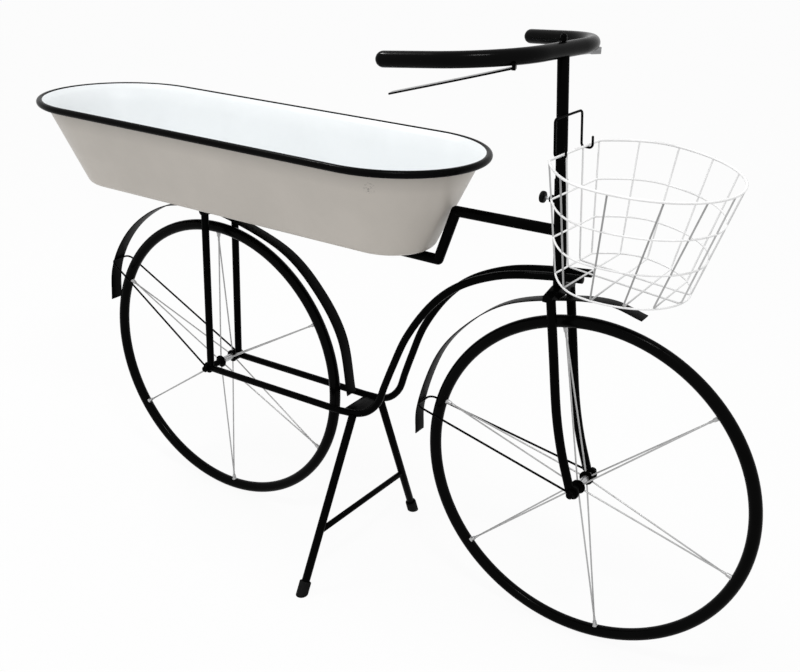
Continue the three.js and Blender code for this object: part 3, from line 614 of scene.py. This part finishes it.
def bright_metal(name, base, rough=0.28, stretch=None):
    n = Nodes(name)
    n.set(Metallic=0.85)
    cloud = n.noise(20 if stretch else 60, 4, 0.6, stretch)
    dark = tuple(v * (0.55 if stretch else 0.82) for v in base)
    n.link(n.ramp(cloud, ((0.3, dark), (0.75, base))), "Base Color")
    n.link(n.range(n.noise(300, 3, 0.6), rough - 0.06, rough + 0.14), "Roughness")
    n.bump(n.noise(700, 2, 0.5), 0.1, 0.0003)
    return n.material


# White coat with painted shade: the wires' near (-Y) side is darker than their far side, blended across the
# object's Y from near to far.
def white_coat(name, near, far):
    n = Nodes(name)
    n.set(Metallic=0.0, Specular_IOR_Level=0.4)
    cloud = n.noise(30, 4, 0.6)
    near_painted_shade = n.ramp(cloud, ((0.3, near * 0.92), (0.7, near * 1.06)))
    far_tone = n.ramp(cloud, ((0.3, far * 0.94), (0.7, far * 1.05)))
    across = n.tree.nodes.new("ShaderNodeSeparateXYZ")
    n.tree.links.new(n.coords.outputs["Object"], across.inputs[0])
    n.link(n.mix(n.range(across.outputs["Y"], 0.0, 1.0, -0.12, 0.04), near_painted_shade, far_tone), "Base Color")
    n.link(n.range(n.noise(160, 3, 0.5), 0.3, 0.48), "Roughness")
    n.bump(n.noise(500, 2, 0.5), 0.1, 0.0004)
    return n.material


def enamel(name, low, high, mark=None, shade=None):
    n = Nodes(name)
    n.set(Metallic=0.0, Specular_IOR_Level=0.3, Coat_Weight=0.05, Coat_Roughness=0.2)
    cloud = n.noise(7, 5, 0.6)
    colour = n.ramp(cloud, ((0.32, low), (0.68, high)))
    specks = n.range(n.noise(260, 3, 0.7), 0.0, 1.0, 0.75, 0.82)
    colour = n.mix(specks, colour, tuple(v * 0.9 for v in low))
    # Painted shade: the outside darkens towards the top, under the rim bead, between the heights given in
    # shade.
    if shade:
        height = n.tree.nodes.new("ShaderNodeSeparateXYZ")
        n.tree.links.new(n.coords.outputs["Object"], height.inputs[0])
        painted_rim_shade = n.range(height.outputs["Z"], 0.0, 0.9, *shade)
        colour = n.mix(painted_rim_shade, colour, tuple(v * 0.82 for v in low))
    if mark:
        centre, radius = mark
        shift = n.tree.nodes.new("ShaderNodeVectorMath")
        shift.operation = "DISTANCE"
        n.tree.links.new(n.coords.outputs["Object"], shift.inputs[0])
        shift.inputs[1].default_value = centre
        near = n.range(shift.outputs["Value"], 1.0, 0.0, 0.0, radius)
        scratch = n.range(n.noise(230, 4, 0.7, (1, 1, 2.2)), 0.0, 1.0, 0.5, 0.62)
        patch = n.maths("MULTIPLY", near, scratch)
        colour = n.mix(n.range(patch, 0.0, 0.85, 0.15, 0.6), colour, (0.13, 0.12, 0.115))
    n.link(colour, "Base Color")
    n.link(n.range(n.noise(25, 4, 0.6), 0.3, 0.5), "Roughness")
    n.bump(n.noise(16, 3, 0.5), 0.1, 0.003)
    return n.material


def soft_black(name, base, rough, grain):
    n = Nodes(name)
    n.set(Metallic=0.0, Specular_IOR_Level=0.05)
    n.link(n.ramp(n.noise(60, 4, 0.6), ((0.3, base), (0.75, base * 2))), "Base Color")
    n.link(n.range(n.noise(200, 3, 0.6), rough - 0.1, rough + 0.1), "Roughness")
    n.bump(n.noise(grain, 4, 0.6), 0.25, 0.0006)
    return n.material


BLACK = black_paint("frame_black")
RING_BLACK = black_paint("ring_black", 0.0008, 0.2, 0.02, 0.02)
GUARD_BLACK = black_paint("guard_black", 0.0014, 0.34, 0.02, 0.0)
BAR_BLACK = black_paint("bar_black", 0.0008, 0.2, 0.03, 0.03)
SPOKE = bright_metal("spoke_wire", (0.5, 0.5, 0.5), 0.34)
HUB_METAL = bright_metal("hub_barrel_metal", (0.5, 0.5, 0.51), 0.22)
LEVER_METAL = bright_metal("lever_strip", (0.36, 0.36, 0.365), 0.3, (1, 1, 14))
ZINC = bright_metal("zinc_plate", (0.62, 0.63, 0.64), 0.34)
WHITE = white_coat("white_coating", 0.86, 0.84)
# The ribs carry strong painted shade: much darker on the near side than on the far side.
WHITE_RIB = white_coat("white_coating_near_painted_shade", 0.34, 0.8)
SCUFF = (tuple(place((463, -139, 806))), 0.016)
# Painted shade under the rim bead: the heights in metres over which the tub's outside darkens.
SHADE = (0.795, 0.832)
ENAMEL_OUT = enamel("enamel_outside", (0.525, 0.49, 0.443), (0.57, 0.53, 0.48), SCUFF, SHADE)
ENAMEL_IN = enamel("enamel_inside", (0.73, 0.755, 0.765), (0.77, 0.795, 0.805))
BEAD_BLACK = black_paint("bead_black", 0.001, 0.26, 0.025, 0.015)
RUBBER = soft_black("foot_rubber", 0.004, 0.72, 300)
PLASTIC = soft_black("knob_plastic", 0.0015, 0.4, 500)


# Wheels
def wheel(end, x):
    angles = SPOKES[end]
    body = f"{end}_wheel"
    ring = torus(x, HUB_Z, RING_RADIUS, RING_TUBE)
    tip = RING_RADIUS - RING_TUBE / 2 - NUB_LENGTH
    for degrees in angles:
        outer = wheel_point(x, degrees, RING_RADIUS - RING_TUBE / 2 + 1)
        way = wheel_point(x, degrees, tip) - outer
        profile = [
            (NUB / 2 + 1.6, 0),
            (NUB / 2 + 0.5, 1.2),
            (NUB / 2, 2.6),
            (NUB_TIP / 2 + 0.2, way.length - 0.5),
            (NUB_TIP / 2 - 0.3, way.length),
            (0, way.length),
        ]
        ring.join(lathe(profile, outer, way, 24, 1))
    build(f"{end}_ring", ring, [RING_BLACK, SPOKE], body, [f"{end}_wheel_ring"])
    bore = AXLE / 2 + GAP
    barrel = HUB_BARREL / 2
    flange = HUB_FLANGE / 2
    reach = HUB_END[end]
    profile = [(bore, reach - 0.4), (bore + 0.6, reach), (barrel - 0.8, reach), (barrel, reach - 0.8)]
    hub_kinds = [0] * 4
    for side in (1, -1):
        middle = HUB_SHIFT[end] + side * FLANGE_SPACING / 2
        high = middle + FLANGE_THICK / 2
        low = middle - FLANGE_THICK / 2
        profile += [
            (barrel, high + 1.2),
            (barrel + 1.2, high),
            (flange - 0.6, high),
            (flange, high - 0.6),
            (flange, low + 0.6),
            (flange - 0.6, low),
            (barrel + 1.2, low),
            (barrel, low - 1.2),
        ]
        hub_kinds += [0] * 7 + [1 if side > 0 else 0]
    profile += [(barrel, 0.8 - reach), (barrel - 0.8, -reach), (bore + 0.6, -reach)]
    profile += [(bore, 0.4 - reach), profile[0]]
    hub_kinds += [0] * 4
    hub = lathe(profile, (x, 0, HUB_Z), (0, 1, 0), 56, [kind for kind in hub_kinds for _ in range(56)])
    build(f"{end}_hub_barrel", hub, [BLACK, HUB_METAL], body, [f"{end}_hub"])
    for index, degrees in enumerate(angles):
        pair = Shape()
        apex = tip - GAP
        low = wheel_point(x, degrees, apex - FERRULE_LENGTH)
        high = wheel_point(x, degrees, apex)
        collar = [
            (0, 0),
            (FERRULE / 2 - 0.5, 0),
            (FERRULE / 2, 0.6),
            (FERRULE / 2, FERRULE_LENGTH - 0.6),
            (FERRULE / 2 - 0.5, FERRULE_LENGTH),
            (0, FERRULE_LENGTH),
        ]
        pair.join(lathe(collar, low, high - low, 20))
        for y in (HUB_SHIFT[end] - FLANGE_SPACING / 2, HUB_SHIFT[end] + FLANGE_SPACING / 2):
            foot = wheel_point(x, degrees, HUB_FLANGE / 2 + GAP, y)
            knee = wheel_point(x, degrees, HUB_FLANGE / 2 + 5, y * 0.985)
            middle = wheel_point(x, degrees, apex - FERRULE_LENGTH / 2)
            pair.join(tube([foot, knee, middle], SPOKE_WIRE, 12))
        node = f"{end}_spoke_pair_{index + 1}"
        build(f"{end}_spokes_{index + 1}", pair, [SPOKE], body, [node])


def eye(x, side, track, diameter, thick):
    start = (x, side * (track - thick / 2), HUB_Z)
    return disc(start, (0, side, 0), diameter / 2, thick, AXLE / 2 + GAP, 0.7)


def nut_and_axle(end, x, track):
    inner = track + EYE_THICK / 2 + WIRE_EYE_THICK + 2 * GAP
    for name, side in (("left", 1), ("right", -1)):
        half = NUT_ACROSS / 2
        hexagon = [
            (AXLE / 2 + GAP, 0),
            (half - 0.7, 0),
            (half, 0.5),
            (half, NUT_HEIGHT - 0.6),
            (half - 1.0, NUT_HEIGHT),
        ]
        nut = lathe(hexagon, (x, side * inner, HUB_Z), (0, side, 0), 6)
        cap = NUT_ACROSS * 0.42
        dome = [(cap, NUT_HEIGHT - 0.6)]
        for k in range(1, 9):
            angle = math.pi / 2 * k / 8
            dome.append((cap * math.cos(angle), NUT_HEIGHT + NUT_DOME * math.sin(angle)))
        nut.join(lathe(dome, (x, side * inner, HUB_Z), (0, side, 0), 32))
        build(f"{end}_nut_{name}", nut, [BLACK], "frame", [f"{end}_axle_nut_{name}"], 40)


# Frame
def main_tube_path(side):
    head = HEAD_BOTTOM + HEAD_TUBE
    rise = head - HUB_Z
    route = [(WHEELBASE * a, side * REAR_TRACK * o, HUB_Z + rise * u) for a, o, u in MAIN_ROUTE]
    route.append((steering_x(head), side * HEAD_TRACK, head))
    route.append((steering_x(head) + MAIN_NOSE, side * HEAD_TRACK, head + MAIN_NOSE_RISE))
    start = Vector((EYE / 2 + GAP - 3, side * REAR_TRACK, HUB_Z))
    return [start, *smooth(route, 110)]


def rear_frame():
    for name, side in (("left", 1), ("right", -1)):
        build(
            f"main_tube_{name}_fine",
            tube(main_tube_path(side), MAIN_TUBE, 28),
            [BLACK],
            "frame",
            [f"main_tube_{name}"],
        )
        stay = eye(0, side, REAR_TRACK, EYE, EYE_THICK)
        y = side * REAR_TRACK
        stay.join(
            tube(
                [(STAY_LEAD, y, z) for z in (HUB_Z + AXLE, HUB_Z + 40, RAIL_Z - RAIL_TUBE / 2 + 1)],
                STAY_TUBE,
                28,
            )
        )
        build(f"stay_{name}_fine", stay, [BLACK], "frame", [f"stay_{name}"])
    half = REAR_TRACK + STAY_TUBE / 2
    build(
        "cross_bar_fine",
        tube([(STAY_LEAD, 1 - half, RAIL_Z), (STAY_LEAD, half - 1, RAIL_Z)], RAIL_TUBE, 32),
        [BLACK],
        "frame",
        ["cross_bar"],
    )
    corner = (RAIL_LENGTH, 0, RAIL_Z)
    elbow = (STRUT_TOP_X, 0, TOP_TUBE_Z)
    head_z = TOP_TUBE_Z + TOP_TUBE_RISE
    end = (steering_x(head_z) - HEAD_TUBE / 2 + 2, 0, head_z)
    start = (STAY_LEAD + RAIL_TUBE / 2, 0, RAIL_Z)
    support = tube(rounded([start, corner, elbow, end], 1.5, 3), RAIL_TUBE, 36)
    nodes = ["tub_rail", "rail_strut", "top_tube"]
    build("tub_support", support, [BLACK], "frame", nodes, 30)


def fork():
    for name, side in (("left", 1), ("right", -1)):
        y = side * FORK_TRACK
        top = HEAD_BOTTOM - CROWN_HEIGHT + 2
        x = steering_x(top) + FORK_LEAD
        route = [(x + (WHEELBASE - x) * a, y, HUB_Z + (top - HUB_Z) * u) for a, u in FORK_ROUTE]
        sink = EYE * 0.3
        route.append((WHEELBASE - sink, y, HUB_Z + sink))
        leg = tube(smooth(route, 60), FORK_TUBE, 28)
        leg.join(eye(WHEELBASE, side, FORK_TRACK, EYE, EYE_THICK))
        build(f"fork_leg_{name}_fine", leg, [BLACK], "frame", [f"fork_leg_{name}"])


def head():
    low = on_axis(HEAD_BOTTOM)
    high = on_axis(HEAD_BOTTOM + HEAD_LENGTH)
    way = high - low
    length = way.length
    outer = HEAD_TUBE / 2
    bore = HEAD_BORE
    profile = [
        (bore, 0.4),
        (bore + 0.3, 0),
        (outer - 0.5, 0),
        (outer, 0.5),
        (outer, length - 0.5),
        (outer - 0.5, length),
        (bore + 0.3, length),
        (bore, length - 0.4),
        (bore, 0.4),
    ]
    tube_shape = lathe(profile, low, way, 48)
    x = steering_x(CLAMP_Z)
    boss_end = x - outer - BOSS_LENGTH
    tube_shape.join(
        lathe(
            [(3.4, 0.3), (3.8, 0), (6.2, 0), (7, 0.8), (7, 8.6), (7, 9.4)],
            (boss_end, 0, CLAMP_Z),
            (1, 0, 0),
            6,
        )
    )
    build("head_tube_fine", tube_shape, [BLACK], "frame", ["head_tube"], 40)
    knob_start = boss_end - BOSS_LENGTH - GAP
    profile = [(0, 0), (4.5, 0), (6.5, 0.2)]
    for k in range(9):
        angle = math.pi * k / 8
        profile.append((8.6 + 1.4 * math.sin(angle), 4.5 - 3.6 * math.cos(angle)))
    profile += [(7.6, 8.7), (5.5, 9.0), (0, 9.0)]
    knob = lathe([(r, -d) for r, d in profile], (knob_start, 0, CLAMP_Z), (1, 0, 0), 48)
    build("knob", knob, [PLASTIC], "clamp", ["clamp_knob"], 50)
    tip = x - STEM_TUBE / 2 - GAP - 0.5
    screw = tube([(boss_end - BOSS_LENGTH, 0, CLAMP_Z), (tip, 0, CLAMP_Z)], CLAMP_SCREW, 24)
    build("clamp_shank", screw, [ZINC], "clamp", ["clamp_screw"])


# Mudguards
def guard_route(x, shares, inset=0.0):
    return [wheel_point(x, degrees, RING_RADIUS * share - inset) for degrees, share in shares]


def guard_radius(shares, degrees):
    best = None
    for point in smooth(guard_route(0, shares), 400):
        turn = math.degrees(math.atan2(point.z - HUB_Z, point.x)) % 360
        miss = abs(turn - degrees)
        if best is None or miss < best[0]:
            best = (miss, math.hypot(point.x, point.z - HUB_Z))
    return best[1]


def guard(end, x, track):
    shares = GUARDS[end]
    path = smooth(guard_route(x, shares, GUARD_THICK / 2), 120)
    section = bar_section(GUARD_WIDTH, GUARD_THICK, 0.7)
    strip = sweep(path, section, up=Vector((0, 0, 1)))
    build(f"{end}_guard", strip, [GUARD_BLACK], "frame", [f"{end}_mudguard"])
    seat = track + EYE_THICK / 2 + GAP + WIRE_EYE_THICK / 2
    degrees = STAY_ANGLES[end]
    radius = guard_radius(shares, degrees) - GUARD_THICK - 2 * GAP - GUARD_WIRE / 2
    corners = []
    for side in (-1, 1):
        start = wheel_point(x, degrees, WIRE_EYE * 0.4, side * seat)
        knee = wheel_point(x, degrees, radius, side * GUARD_WIRE_SPAN)
        corners += [start, knee] if side < 0 else [knee, start]
    wire = tube(rounded(corners, GUARD_WIRE_BEND, 10), GUARD_WIRE, 14)
    for side in (-1, 1):
        wire.join(eye(x, side, seat, WIRE_EYE, WIRE_EYE_THICK))
    build(f"{end}_guard_wire", wire, [BLACK], "frame", [f"{end}_mudguard_stay"])


# Stand
def stand_point(side, share):
    top = Vector((STAND_TOP[0], side * STAND_TOP[1], STAND_TOP[2]))
    foot = Vector((STAND_FOOT[0] + side * STAND_SKEW, side * STAND_FOOT[1] + STAND_SHIFT, 0))
    return top.lerp(foot, share)


def stand():
    for name, side in (("left", 1), ("right", -1)):
        length = (stand_point(side, 1) - stand_point(side, 0)).length
        low = stand_point(side, 1 - (FOOT_BASE + 1) / length)
        leg = tube([stand_point(side, 0.002), low], STAND_TUBE, 28)
        build(f"stand_leg_{name}_fine", leg, [BLACK], "frame", [f"stand_leg_{name}"])
        top = stand_point(side, 1 - FOOT_LENGTH / length)
        bottom = stand_point(side, 1)
        way = bottom - top
        r = FOOT / 2
        profile = [(STAND_TUBE / 2 + 0.2, 0.5), (r - 1.6, 0), (r - 0.4, 0.8), (r, 2.2)]
        profile += [(r, way.length + r), (0, way.length + r)]
        foot = lathe(profile, top, way, 40)
        for point in foot.points:
            if point.z < 0:
                point -= way * (point.z / way.z)
        build(f"stand_foot_{name}_fine", foot, [RUBBER], "frame", [f"stand_foot_{name}"])
    share = 1 - STAND_BAR_Z / STAND_TOP[2]
    a = stand_point(-1, share)
    b = stand_point(1, share)
    inset = (b - a).normalized() * (STAND_TUBE / 2 - 1.5)
    bar = tube([a + inset, b - inset], STAND_BAR, 24)
    build("stand_bar_fine", bar, [BLACK], "frame", ["stand_bar"])


# Steering: everything above the head tube is turned about the steering axis
AXIS_WAY = Vector((-LEAN, 0, 1)).normalized()
PIVOT = on_axis(BAR_Z)
TURNED = Matrix.Translation(PIVOT) @ Matrix.Rotation(STEER, 4, AXIS_WAY) @ Matrix.Translation(-PIVOT)


def bar_point(side, angle, arm=0.0):
    x = -BAR_BEND + BAR_BEND * math.cos(angle) - arm * math.sin(angle)
    y = BAR_FRONT + BAR_BEND * math.sin(angle) + arm * math.cos(angle)
    return Vector((steering_x(BAR_Z) + x, side * y, BAR_Z + x * math.tan(BAR_DROP)))


def handlebar():
    path = []
    for side in (-1, 1):
        half = [bar_point(side, BAR_ANGLE, BAR_ARM * k / 6) for k in range(6, 0, -1)]
        half += [bar_point(side, BAR_ANGLE * k / 48) for k in range(48, -1, -1)]
        path += half if side < 0 else half[::-1]
    bar = tube(path, BAR_TUBE, 40, ends="round").moved(TURNED)
    build("handlebar_fine", bar, [BAR_BLACK], "handlebar", ["handlebar"])
    top = on_axis(BAR_Z + BAR_TUBE / 2 + GAP)
    nut = lathe([(0, 0), (5.6, 0), (BAR_BOLT, 0.6), (BAR_BOLT, 5.4), (5.6, 6.0)], top, AXIS_WAY, 6)
    dome = [(BAR_BOLT_DOME, 5.6)]
    for k in range(1, 9):
        angle = math.pi / 2 * k / 8
        dome.append((BAR_BOLT_DOME * math.cos(angle), 6 + 6 * math.sin(angle)))
    nut.join(lathe(dome, top, AXIS_WAY, 32))
    nut.join(tube([on_axis(1000), top + AXIS_WAY * 2], 6, 20))
    build("bar_bolt", nut.moved(TURNED), [BLACK], "handlebar", ["handlebar_bolt"], 40)
    stem = tube([on_axis(STEM_BOTTOM), on_axis(860), on_axis(BAR_Z - 1.5)], STEM_TUBE, 40)
    build("stem_fine", stem, [BLACK], "stem", ["stem"])


def lever(name, side):
    places = zip(LEVER, LEVER_LIFTS[name])
    route = [(steering_x(BAR_Z) + x, side * y, z + lift) for (x, y, z), lift in places]
    path = smooth(route, 28)
    section = bar_section(LEVER_WIDTH, LEVER_THICK, 0.8)
    levels = [(a[1] + b[1]) / 2 for a, b in zip(section, section[1:] + section[:1])]
    # The left lever is silver on every face while the right one is black on its sides and underside; this
    # difference between the two copies is painted light.
    kinds = [0 if side > 0 or level > LEVER_THICK * 0.45 else 1 for level in levels]
    strip = sweep(path, section, up=Vector((0, 0, 1)), kinds=kinds)
    build(
        f"lever_{name}",
        strip.moved(TURNED),
        [LEVER_METAL, BLACK],
        "handlebar",
        [f"brake_lever_{name}"],
    )


def hooks():
    top = steering_x(HOOK_TOP) + STEM_TUBE / 2 + GAP + HOOK_WIRE / 2
    bottom = BASKET_RIM_Z - (BASKET_WIRE + HOOK_WIRE) / 2 - GAP + HOOK_SEAT
    leg = top + (HOOK_TOP - bottom) * LEAN
    front = leg + 2 * HOOK_CUP
    corners = []
    for side in (-1, 1):
        y = side * HOOK_SPAN
        half = [
            (front - HOOK_RISE * LEAN, y, bottom + HOOK_RISE),
            (front, y, bottom),
            (leg, y, bottom),
            (top, y, HOOK_TOP),
        ]
        corners += half if side < 0 else half[::-1]
    corners = [(x, y, z + y * BASKET_ROLL) for x, y, z in corners]
    wire = tube(rounded(corners, HOOK_BEND, 8), HOOK_WIRE, 16, ends="round").moved(TURNED)
    build("hooks", wire, [BLACK], "handlebar", ["basket_hooks"])


# Basket
def basket_outline(size, side_steps=16, front_steps=72):
    wide = size["depth"] * BASKET_WIDE
    curve = []
    for k in range(side_steps):
        share = k / side_steps
        rest = (1 - share) ** 2
        curve.append((wide * share, -(size["half"] - (size["half"] - size["back"]) * rest)))
    front = []
    for k in range(front_steps + 1):
        angle = -math.pi / 2 + math.pi * k / front_steps
        front.append((wide + (size["depth"] - wide) * math.cos(angle), size["half"] * math.sin(angle)))
    return curve + front + [(x, -y) for x, y in reversed(curve)]


def basket_level(share):
    return {key: lerp(BASKET_RIM[key], BASKET_BASE[key], share) for key in BASKET_RIM}


def basket_point(share, xy):
    return Vector((basket_level(share)["set"] + xy[0], xy[1], -BASKET_HEIGHT * share))


def along_outline(level, share):
    points = [Vector((x, y, 0)) for x, y in basket_outline(level)]
    return evenly(points, 1000)[round(share * 1000)].xy


def basket():
    x = steering_x(BASKET_RIM_Z) + STEM_TUBE / 2 + GAP + HOOK_WIRE / 2 + HOOK_CUP + BASKET_SET
    roll = Matrix.Rotation(math.atan(BASKET_ROLL), 4, "X")
    tilt = roll @ Matrix.Rotation(math.atan(-BASKET_PITCH), 4, "Y")
    stand_at = TURNED @ Matrix.Translation((x, 0, BASKET_RIM_Z)) @ tilt
    whole = Shape()
    for level in range(BASKET_RINGS):
        share = level / (BASKET_RINGS - 1)
        outline = [basket_point(share, xy) for xy in basket_outline(basket_level(share))]
        wire = BASKET_WIRE if level == 0 else RING_WIRE
        whole.join(tube(outline, wire, 14, closed=True))
    rim = basket_level(0)
    base = basket_level(1)
    heads = [basket_point(0, along_outline(rim, share)) for share in RIB_TOPS]
    feet = [basket_point(1, along_outline(base, share)) for share in RIB_FEET]
    count = len(RIB_TOPS)
    ribs = Shape()
    for k in range(1, 5):
        corners = [heads[k], feet[k], feet[-1 - k], heads[-1 - k]]
        ribs.join(tube(rounded(corners, 7, 6), RIB_WIRE, 12, ends="round"))
    for k in (0, count - 1):
        ribs.join(tube([heads[k], feet[k]], RIB_WIRE, 12, ends="round"))
    for side, k in ((-1, 5), (1, 6)):
        back_head = basket_point(0, (0, side * rim["back"] * BACK_RIB))
        back_foot = basket_point(1, (0, side * base["back"] * BACK_RIB))
        corners = [back_head, back_foot, feet[k], heads[k]]
        ribs.join(tube(rounded(corners, 7, 6), RIB_WIRE, 12, ends="round"))
    whole.add(ribs.points, ribs.faces, 1)
    build("basket_wires", whole.moved(stand_at), [WHITE, WHITE_RIB], "basket", ["basket"], 60)


# Tub
def tub():
    floor = RAIL_Z + RAIL_TUBE / 2 + GAP
    slope = math.atan2(TUB_WALL_TOP_RADIUS - TUB_FLOOR_RADIUS, TUB_WALL_TOP_Z - floor)
    start = TUB_FLOOR_RADIUS - TUB_FILLET * math.tan((math.pi / 2 - slope) / 2)

    def fillet(radius, level, steps=8):
        out = []
        for k in range(steps + 1):
            angle = (math.pi / 2 - slope) * k / steps
            out.append((start + radius * math.sin(angle), level + radius * (1 - math.cos(angle))))
        return out

    outer = [(0.0, floor), *fillet(TUB_FILLET, floor)]
    top = (TUB_WALL_TOP_RADIUS, TUB_WALL_TOP_Z)
    last = outer[-1]
    outer += [(lerp(last[0], top[0], k / 6), lerp(last[1], top[1], k / 6)) for k in range(1, 7)]
    bead = []
    for k in range(25):
        angle = math.radians(-135 + 270 * k / 24)
        across = TUB_RIM_RADIUS + TUB_BEAD / 2 * math.cos(angle)
        bead.append((across, TUB_RIM_Z + TUB_BEAD / 2 * math.sin(angle)))
    inner = fillet(TUB_FILLET - TUB_SHEET, floor + TUB_SHEET)
    inner_top = (TUB_WALL_TOP_RADIUS - TUB_SHEET, TUB_WALL_TOP_Z)
    lip = [(TUB_WALL_TOP_RADIUS + TUB_SHEET, TUB_WALL_TOP_Z + 2 * TUB_SHEET)]
    inside = [inner_top]
    low = inner[-1]
    inside += [(lerp(inner_top[0], low[0], k / 6), lerp(inner_top[1], low[1], k / 6)) for k in range(1, 6)]
    inside += inner[::-1] + [(0.0, floor + TUB_SHEET)]
    profile = outer + bead + lip + inside
    kinds = [0] * (len(outer) - 1) + [1] * 25 + [2] * (len(inside) + 1)
    turns = []
    arc = 56
    straight = 20
    for k in range(arc + 1):
        angle = -math.pi / 2 + math.pi * k / arc
        turns.append((TUB_STRAIGHT, math.cos(angle), math.sin(angle)))
    for k in range(1, straight):
        turns.append((lerp(TUB_STRAIGHT, -TUB_STRAIGHT, k / straight), 0, 1))
    for k in range(arc + 1):
        angle = math.pi / 2 + math.pi * k / arc
        turns.append((-TUB_STRAIGHT, math.cos(angle), math.sin(angle)))
    for k in range(1, straight):
        turns.append((lerp(-TUB_STRAIGHT, TUB_STRAIGHT, k / straight), 0, -1))
    shape = Shape()
    size = len(turns)
    points = []
    for r, z in profile:
        points += [(TUB_X + x + r * c, r * s, z) for x, c, s in turns]
    faces = []
    face_kinds = []
    for i in range(len(profile) - 1):
        for k in range(size):
            m = (k + 1) % size
            faces.append([i * size + k, i * size + m, (i + 1) * size + m, (i + 1) * size + k])
            face_kinds.append(kinds[i])
    shape.add(points, faces, face_kinds)
    build("tub_shell", shape, [ENAMEL_OUT, BEAD_BLACK, ENAMEL_IN], "frame", ["tub"], 50)


wheel("rear", 0)
wheel("front", WHEELBASE)
nut_and_axle("rear", 0, REAR_TRACK)
nut_and_axle("front", WHEELBASE, FORK_TRACK)
rear_frame()
fork()
head()
guard("rear", 0, REAR_TRACK)
guard("front", WHEELBASE, FORK_TRACK)
stand()
handlebar()
lever("left", 1)
lever("right", -1)
hooks()
basket()
tub()

# CAD nodes that stay: their shape is right, so they get a material and broken edges
KEPT = {
    "rear_axle": ZINC,
    "front_axle": ZINC,
    "tub_bolt_1": ZINC,
    "tub_bolt_2": ZINC,
    "frame_bridge": BLACK,
    "fork_crown": BLACK,
    # Painted light: the left bracket, the same black part as the right one, gets the silver lever metal
    # where it is seen lit.
    "lever_bracket_left": LEVER_METAL,
    "lever_bracket_right": BLACK,
}
for name, material in KEPT.items():
    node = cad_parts[name]
    node.data.materials.clear()
    node.data.materials.append(material)
    for polygon in node.data.polygons:
        polygon.use_smooth = True
    weld = node.modifiers.new("weld", "WELD")
    weld.merge_threshold = WELD_DISTANCE
    bevel = node.modifiers.new("edges", "BEVEL")
    bevel.width = EDGE_WIDTH
    bevel.segments = 3
    bevel.limit_method = "ANGLE"
    bevel.angle_limit = math.radians(35)
    bevel.harden_normals = True


# Stage
def seen_rays(tree):
    """1 for the rays that show a background: from the camera, off gloss and through glass."""
    path = tree.nodes.new("ShaderNodeLightPath")
    output = path.outputs["Is Camera Ray"]
    for name in ("Is Glossy Ray", "Is Transmission Ray"):
        either = tree.nodes.new("ShaderNodeMath")
        either.operation = "MAXIMUM"
        tree.links.new(output, either.inputs[0])
        tree.links.new(path.outputs[name], either.inputs[1])
        output = either.outputs[0]
    return output


def stage():
    scene = bpy.context.scene
    mesh = bpy.data.meshes.new("floor")
    reach = FLOOR_REACH
    corners = [(-reach, -reach, 0), (reach, -reach, 0), (reach, reach, 0), (-reach, reach, 0)]
    mesh.from_pydata(corners, [], [(0, 1, 2, 3)])
    floor = bpy.data.objects.new("floor", mesh)
    scene.collection.objects.link(floor)
    material = bpy.data.materials.new("floor_white")
    material.use_nodes = True
    tree = material.node_tree
    tree.nodes.clear()
    output = tree.nodes.new("ShaderNodeOutputMaterial")
    diffuse = tree.nodes.new("ShaderNodeBsdfDiffuse")
    diffuse.inputs["Color"].default_value = (0.8, 0.8, 0.8, 1)
    glow = tree.nodes.new("ShaderNodeEmission")
    glow.inputs["Color"].default_value = (1, 1, 1, 1)
    glow.inputs["Strength"].default_value = 1.0
    share = tree.nodes.new("ShaderNodeMath")
    share.operation = "MULTIPLY"
    share.inputs[1].default_value = FLOOR_GLOW
    tree.links.new(seen_rays(tree), share.inputs[0])
    mix = tree.nodes.new("ShaderNodeMixShader")
    tree.links.new(share.outputs[0], mix.inputs["Fac"])
    tree.links.new(diffuse.outputs[0], mix.inputs[1])
    tree.links.new(glow.outputs[0], mix.inputs[2])
    tree.links.new(mix.outputs[0], output.inputs["Surface"])
    mesh.materials.append(material)

    world = bpy.data.worlds.new("studio")
    scene.world = world
    world.use_nodes = True
    tree = world.node_tree
    background = tree.nodes["Background"]
    background.inputs["Color"].default_value = (1, 1, 1, 1)
    strength = tree.nodes.new("ShaderNodeMapRange")
    strength.inputs["To Min"].default_value = WORLD_LIGHT
    strength.inputs["To Max"].default_value = WORLD_SEEN
    tree.links.new(seen_rays(tree), strength.inputs["Value"])
    tree.links.new(strength.outputs["Result"], background.inputs["Strength"])

    for name, (place_at, aim, power) in LAMPS.items():
        data = bpy.data.lights.new(name, "AREA")
        data.shape = "RECTANGLE"
        data.size, data.size_y = LAMP_SIZE
        data.energy = power
        lamp_object = bpy.data.objects.new(name, data)
        scene.collection.objects.link(lamp_object)
        lamp_object.location = place_at
        way = Vector(aim) - Vector(place_at)
        lamp_object.rotation_euler = way.to_track_quat("-Z", "Y").to_euler()


def camera():
    data = bpy.data.cameras.new("camera")
    data.sensor_fit = "HORIZONTAL"
    data.sensor_width = SENSOR_WIDTH
    data.lens = FOCAL_PIXELS / PICTURE_WIDTH * SENSOR_WIDTH
    data.clip_end = 200
    obj = bpy.data.objects.new("camera", data)
    scene = bpy.context.scene
    scene.collection.objects.link(obj)
    yaw, pitch, roll = (math.radians(v) for v in CAMERA_TURNS)
    level = math.cos(pitch)
    forward = Vector((math.cos(yaw) * level, math.sin(yaw) * level, -math.sin(pitch)))
    right = Vector((math.sin(yaw), -math.cos(yaw), 0))
    down = forward.cross(right)
    image_right = right * math.cos(roll) + down * math.sin(roll)
    image_down = down * math.cos(roll) - right * math.sin(roll)
    turn = Matrix((image_right, -image_down, -forward)).transposed().to_4x4()
    ahead, left, up = (v * RING_RADIUS for v in CAMERA_PLACE)
    where = place((ahead, left, HUB_Z + up))
    obj.matrix_world = Matrix.Translation(where) @ turn
    scene.camera = obj
    scene.view_settings.view_transform = "Standard"


stage()
camera()
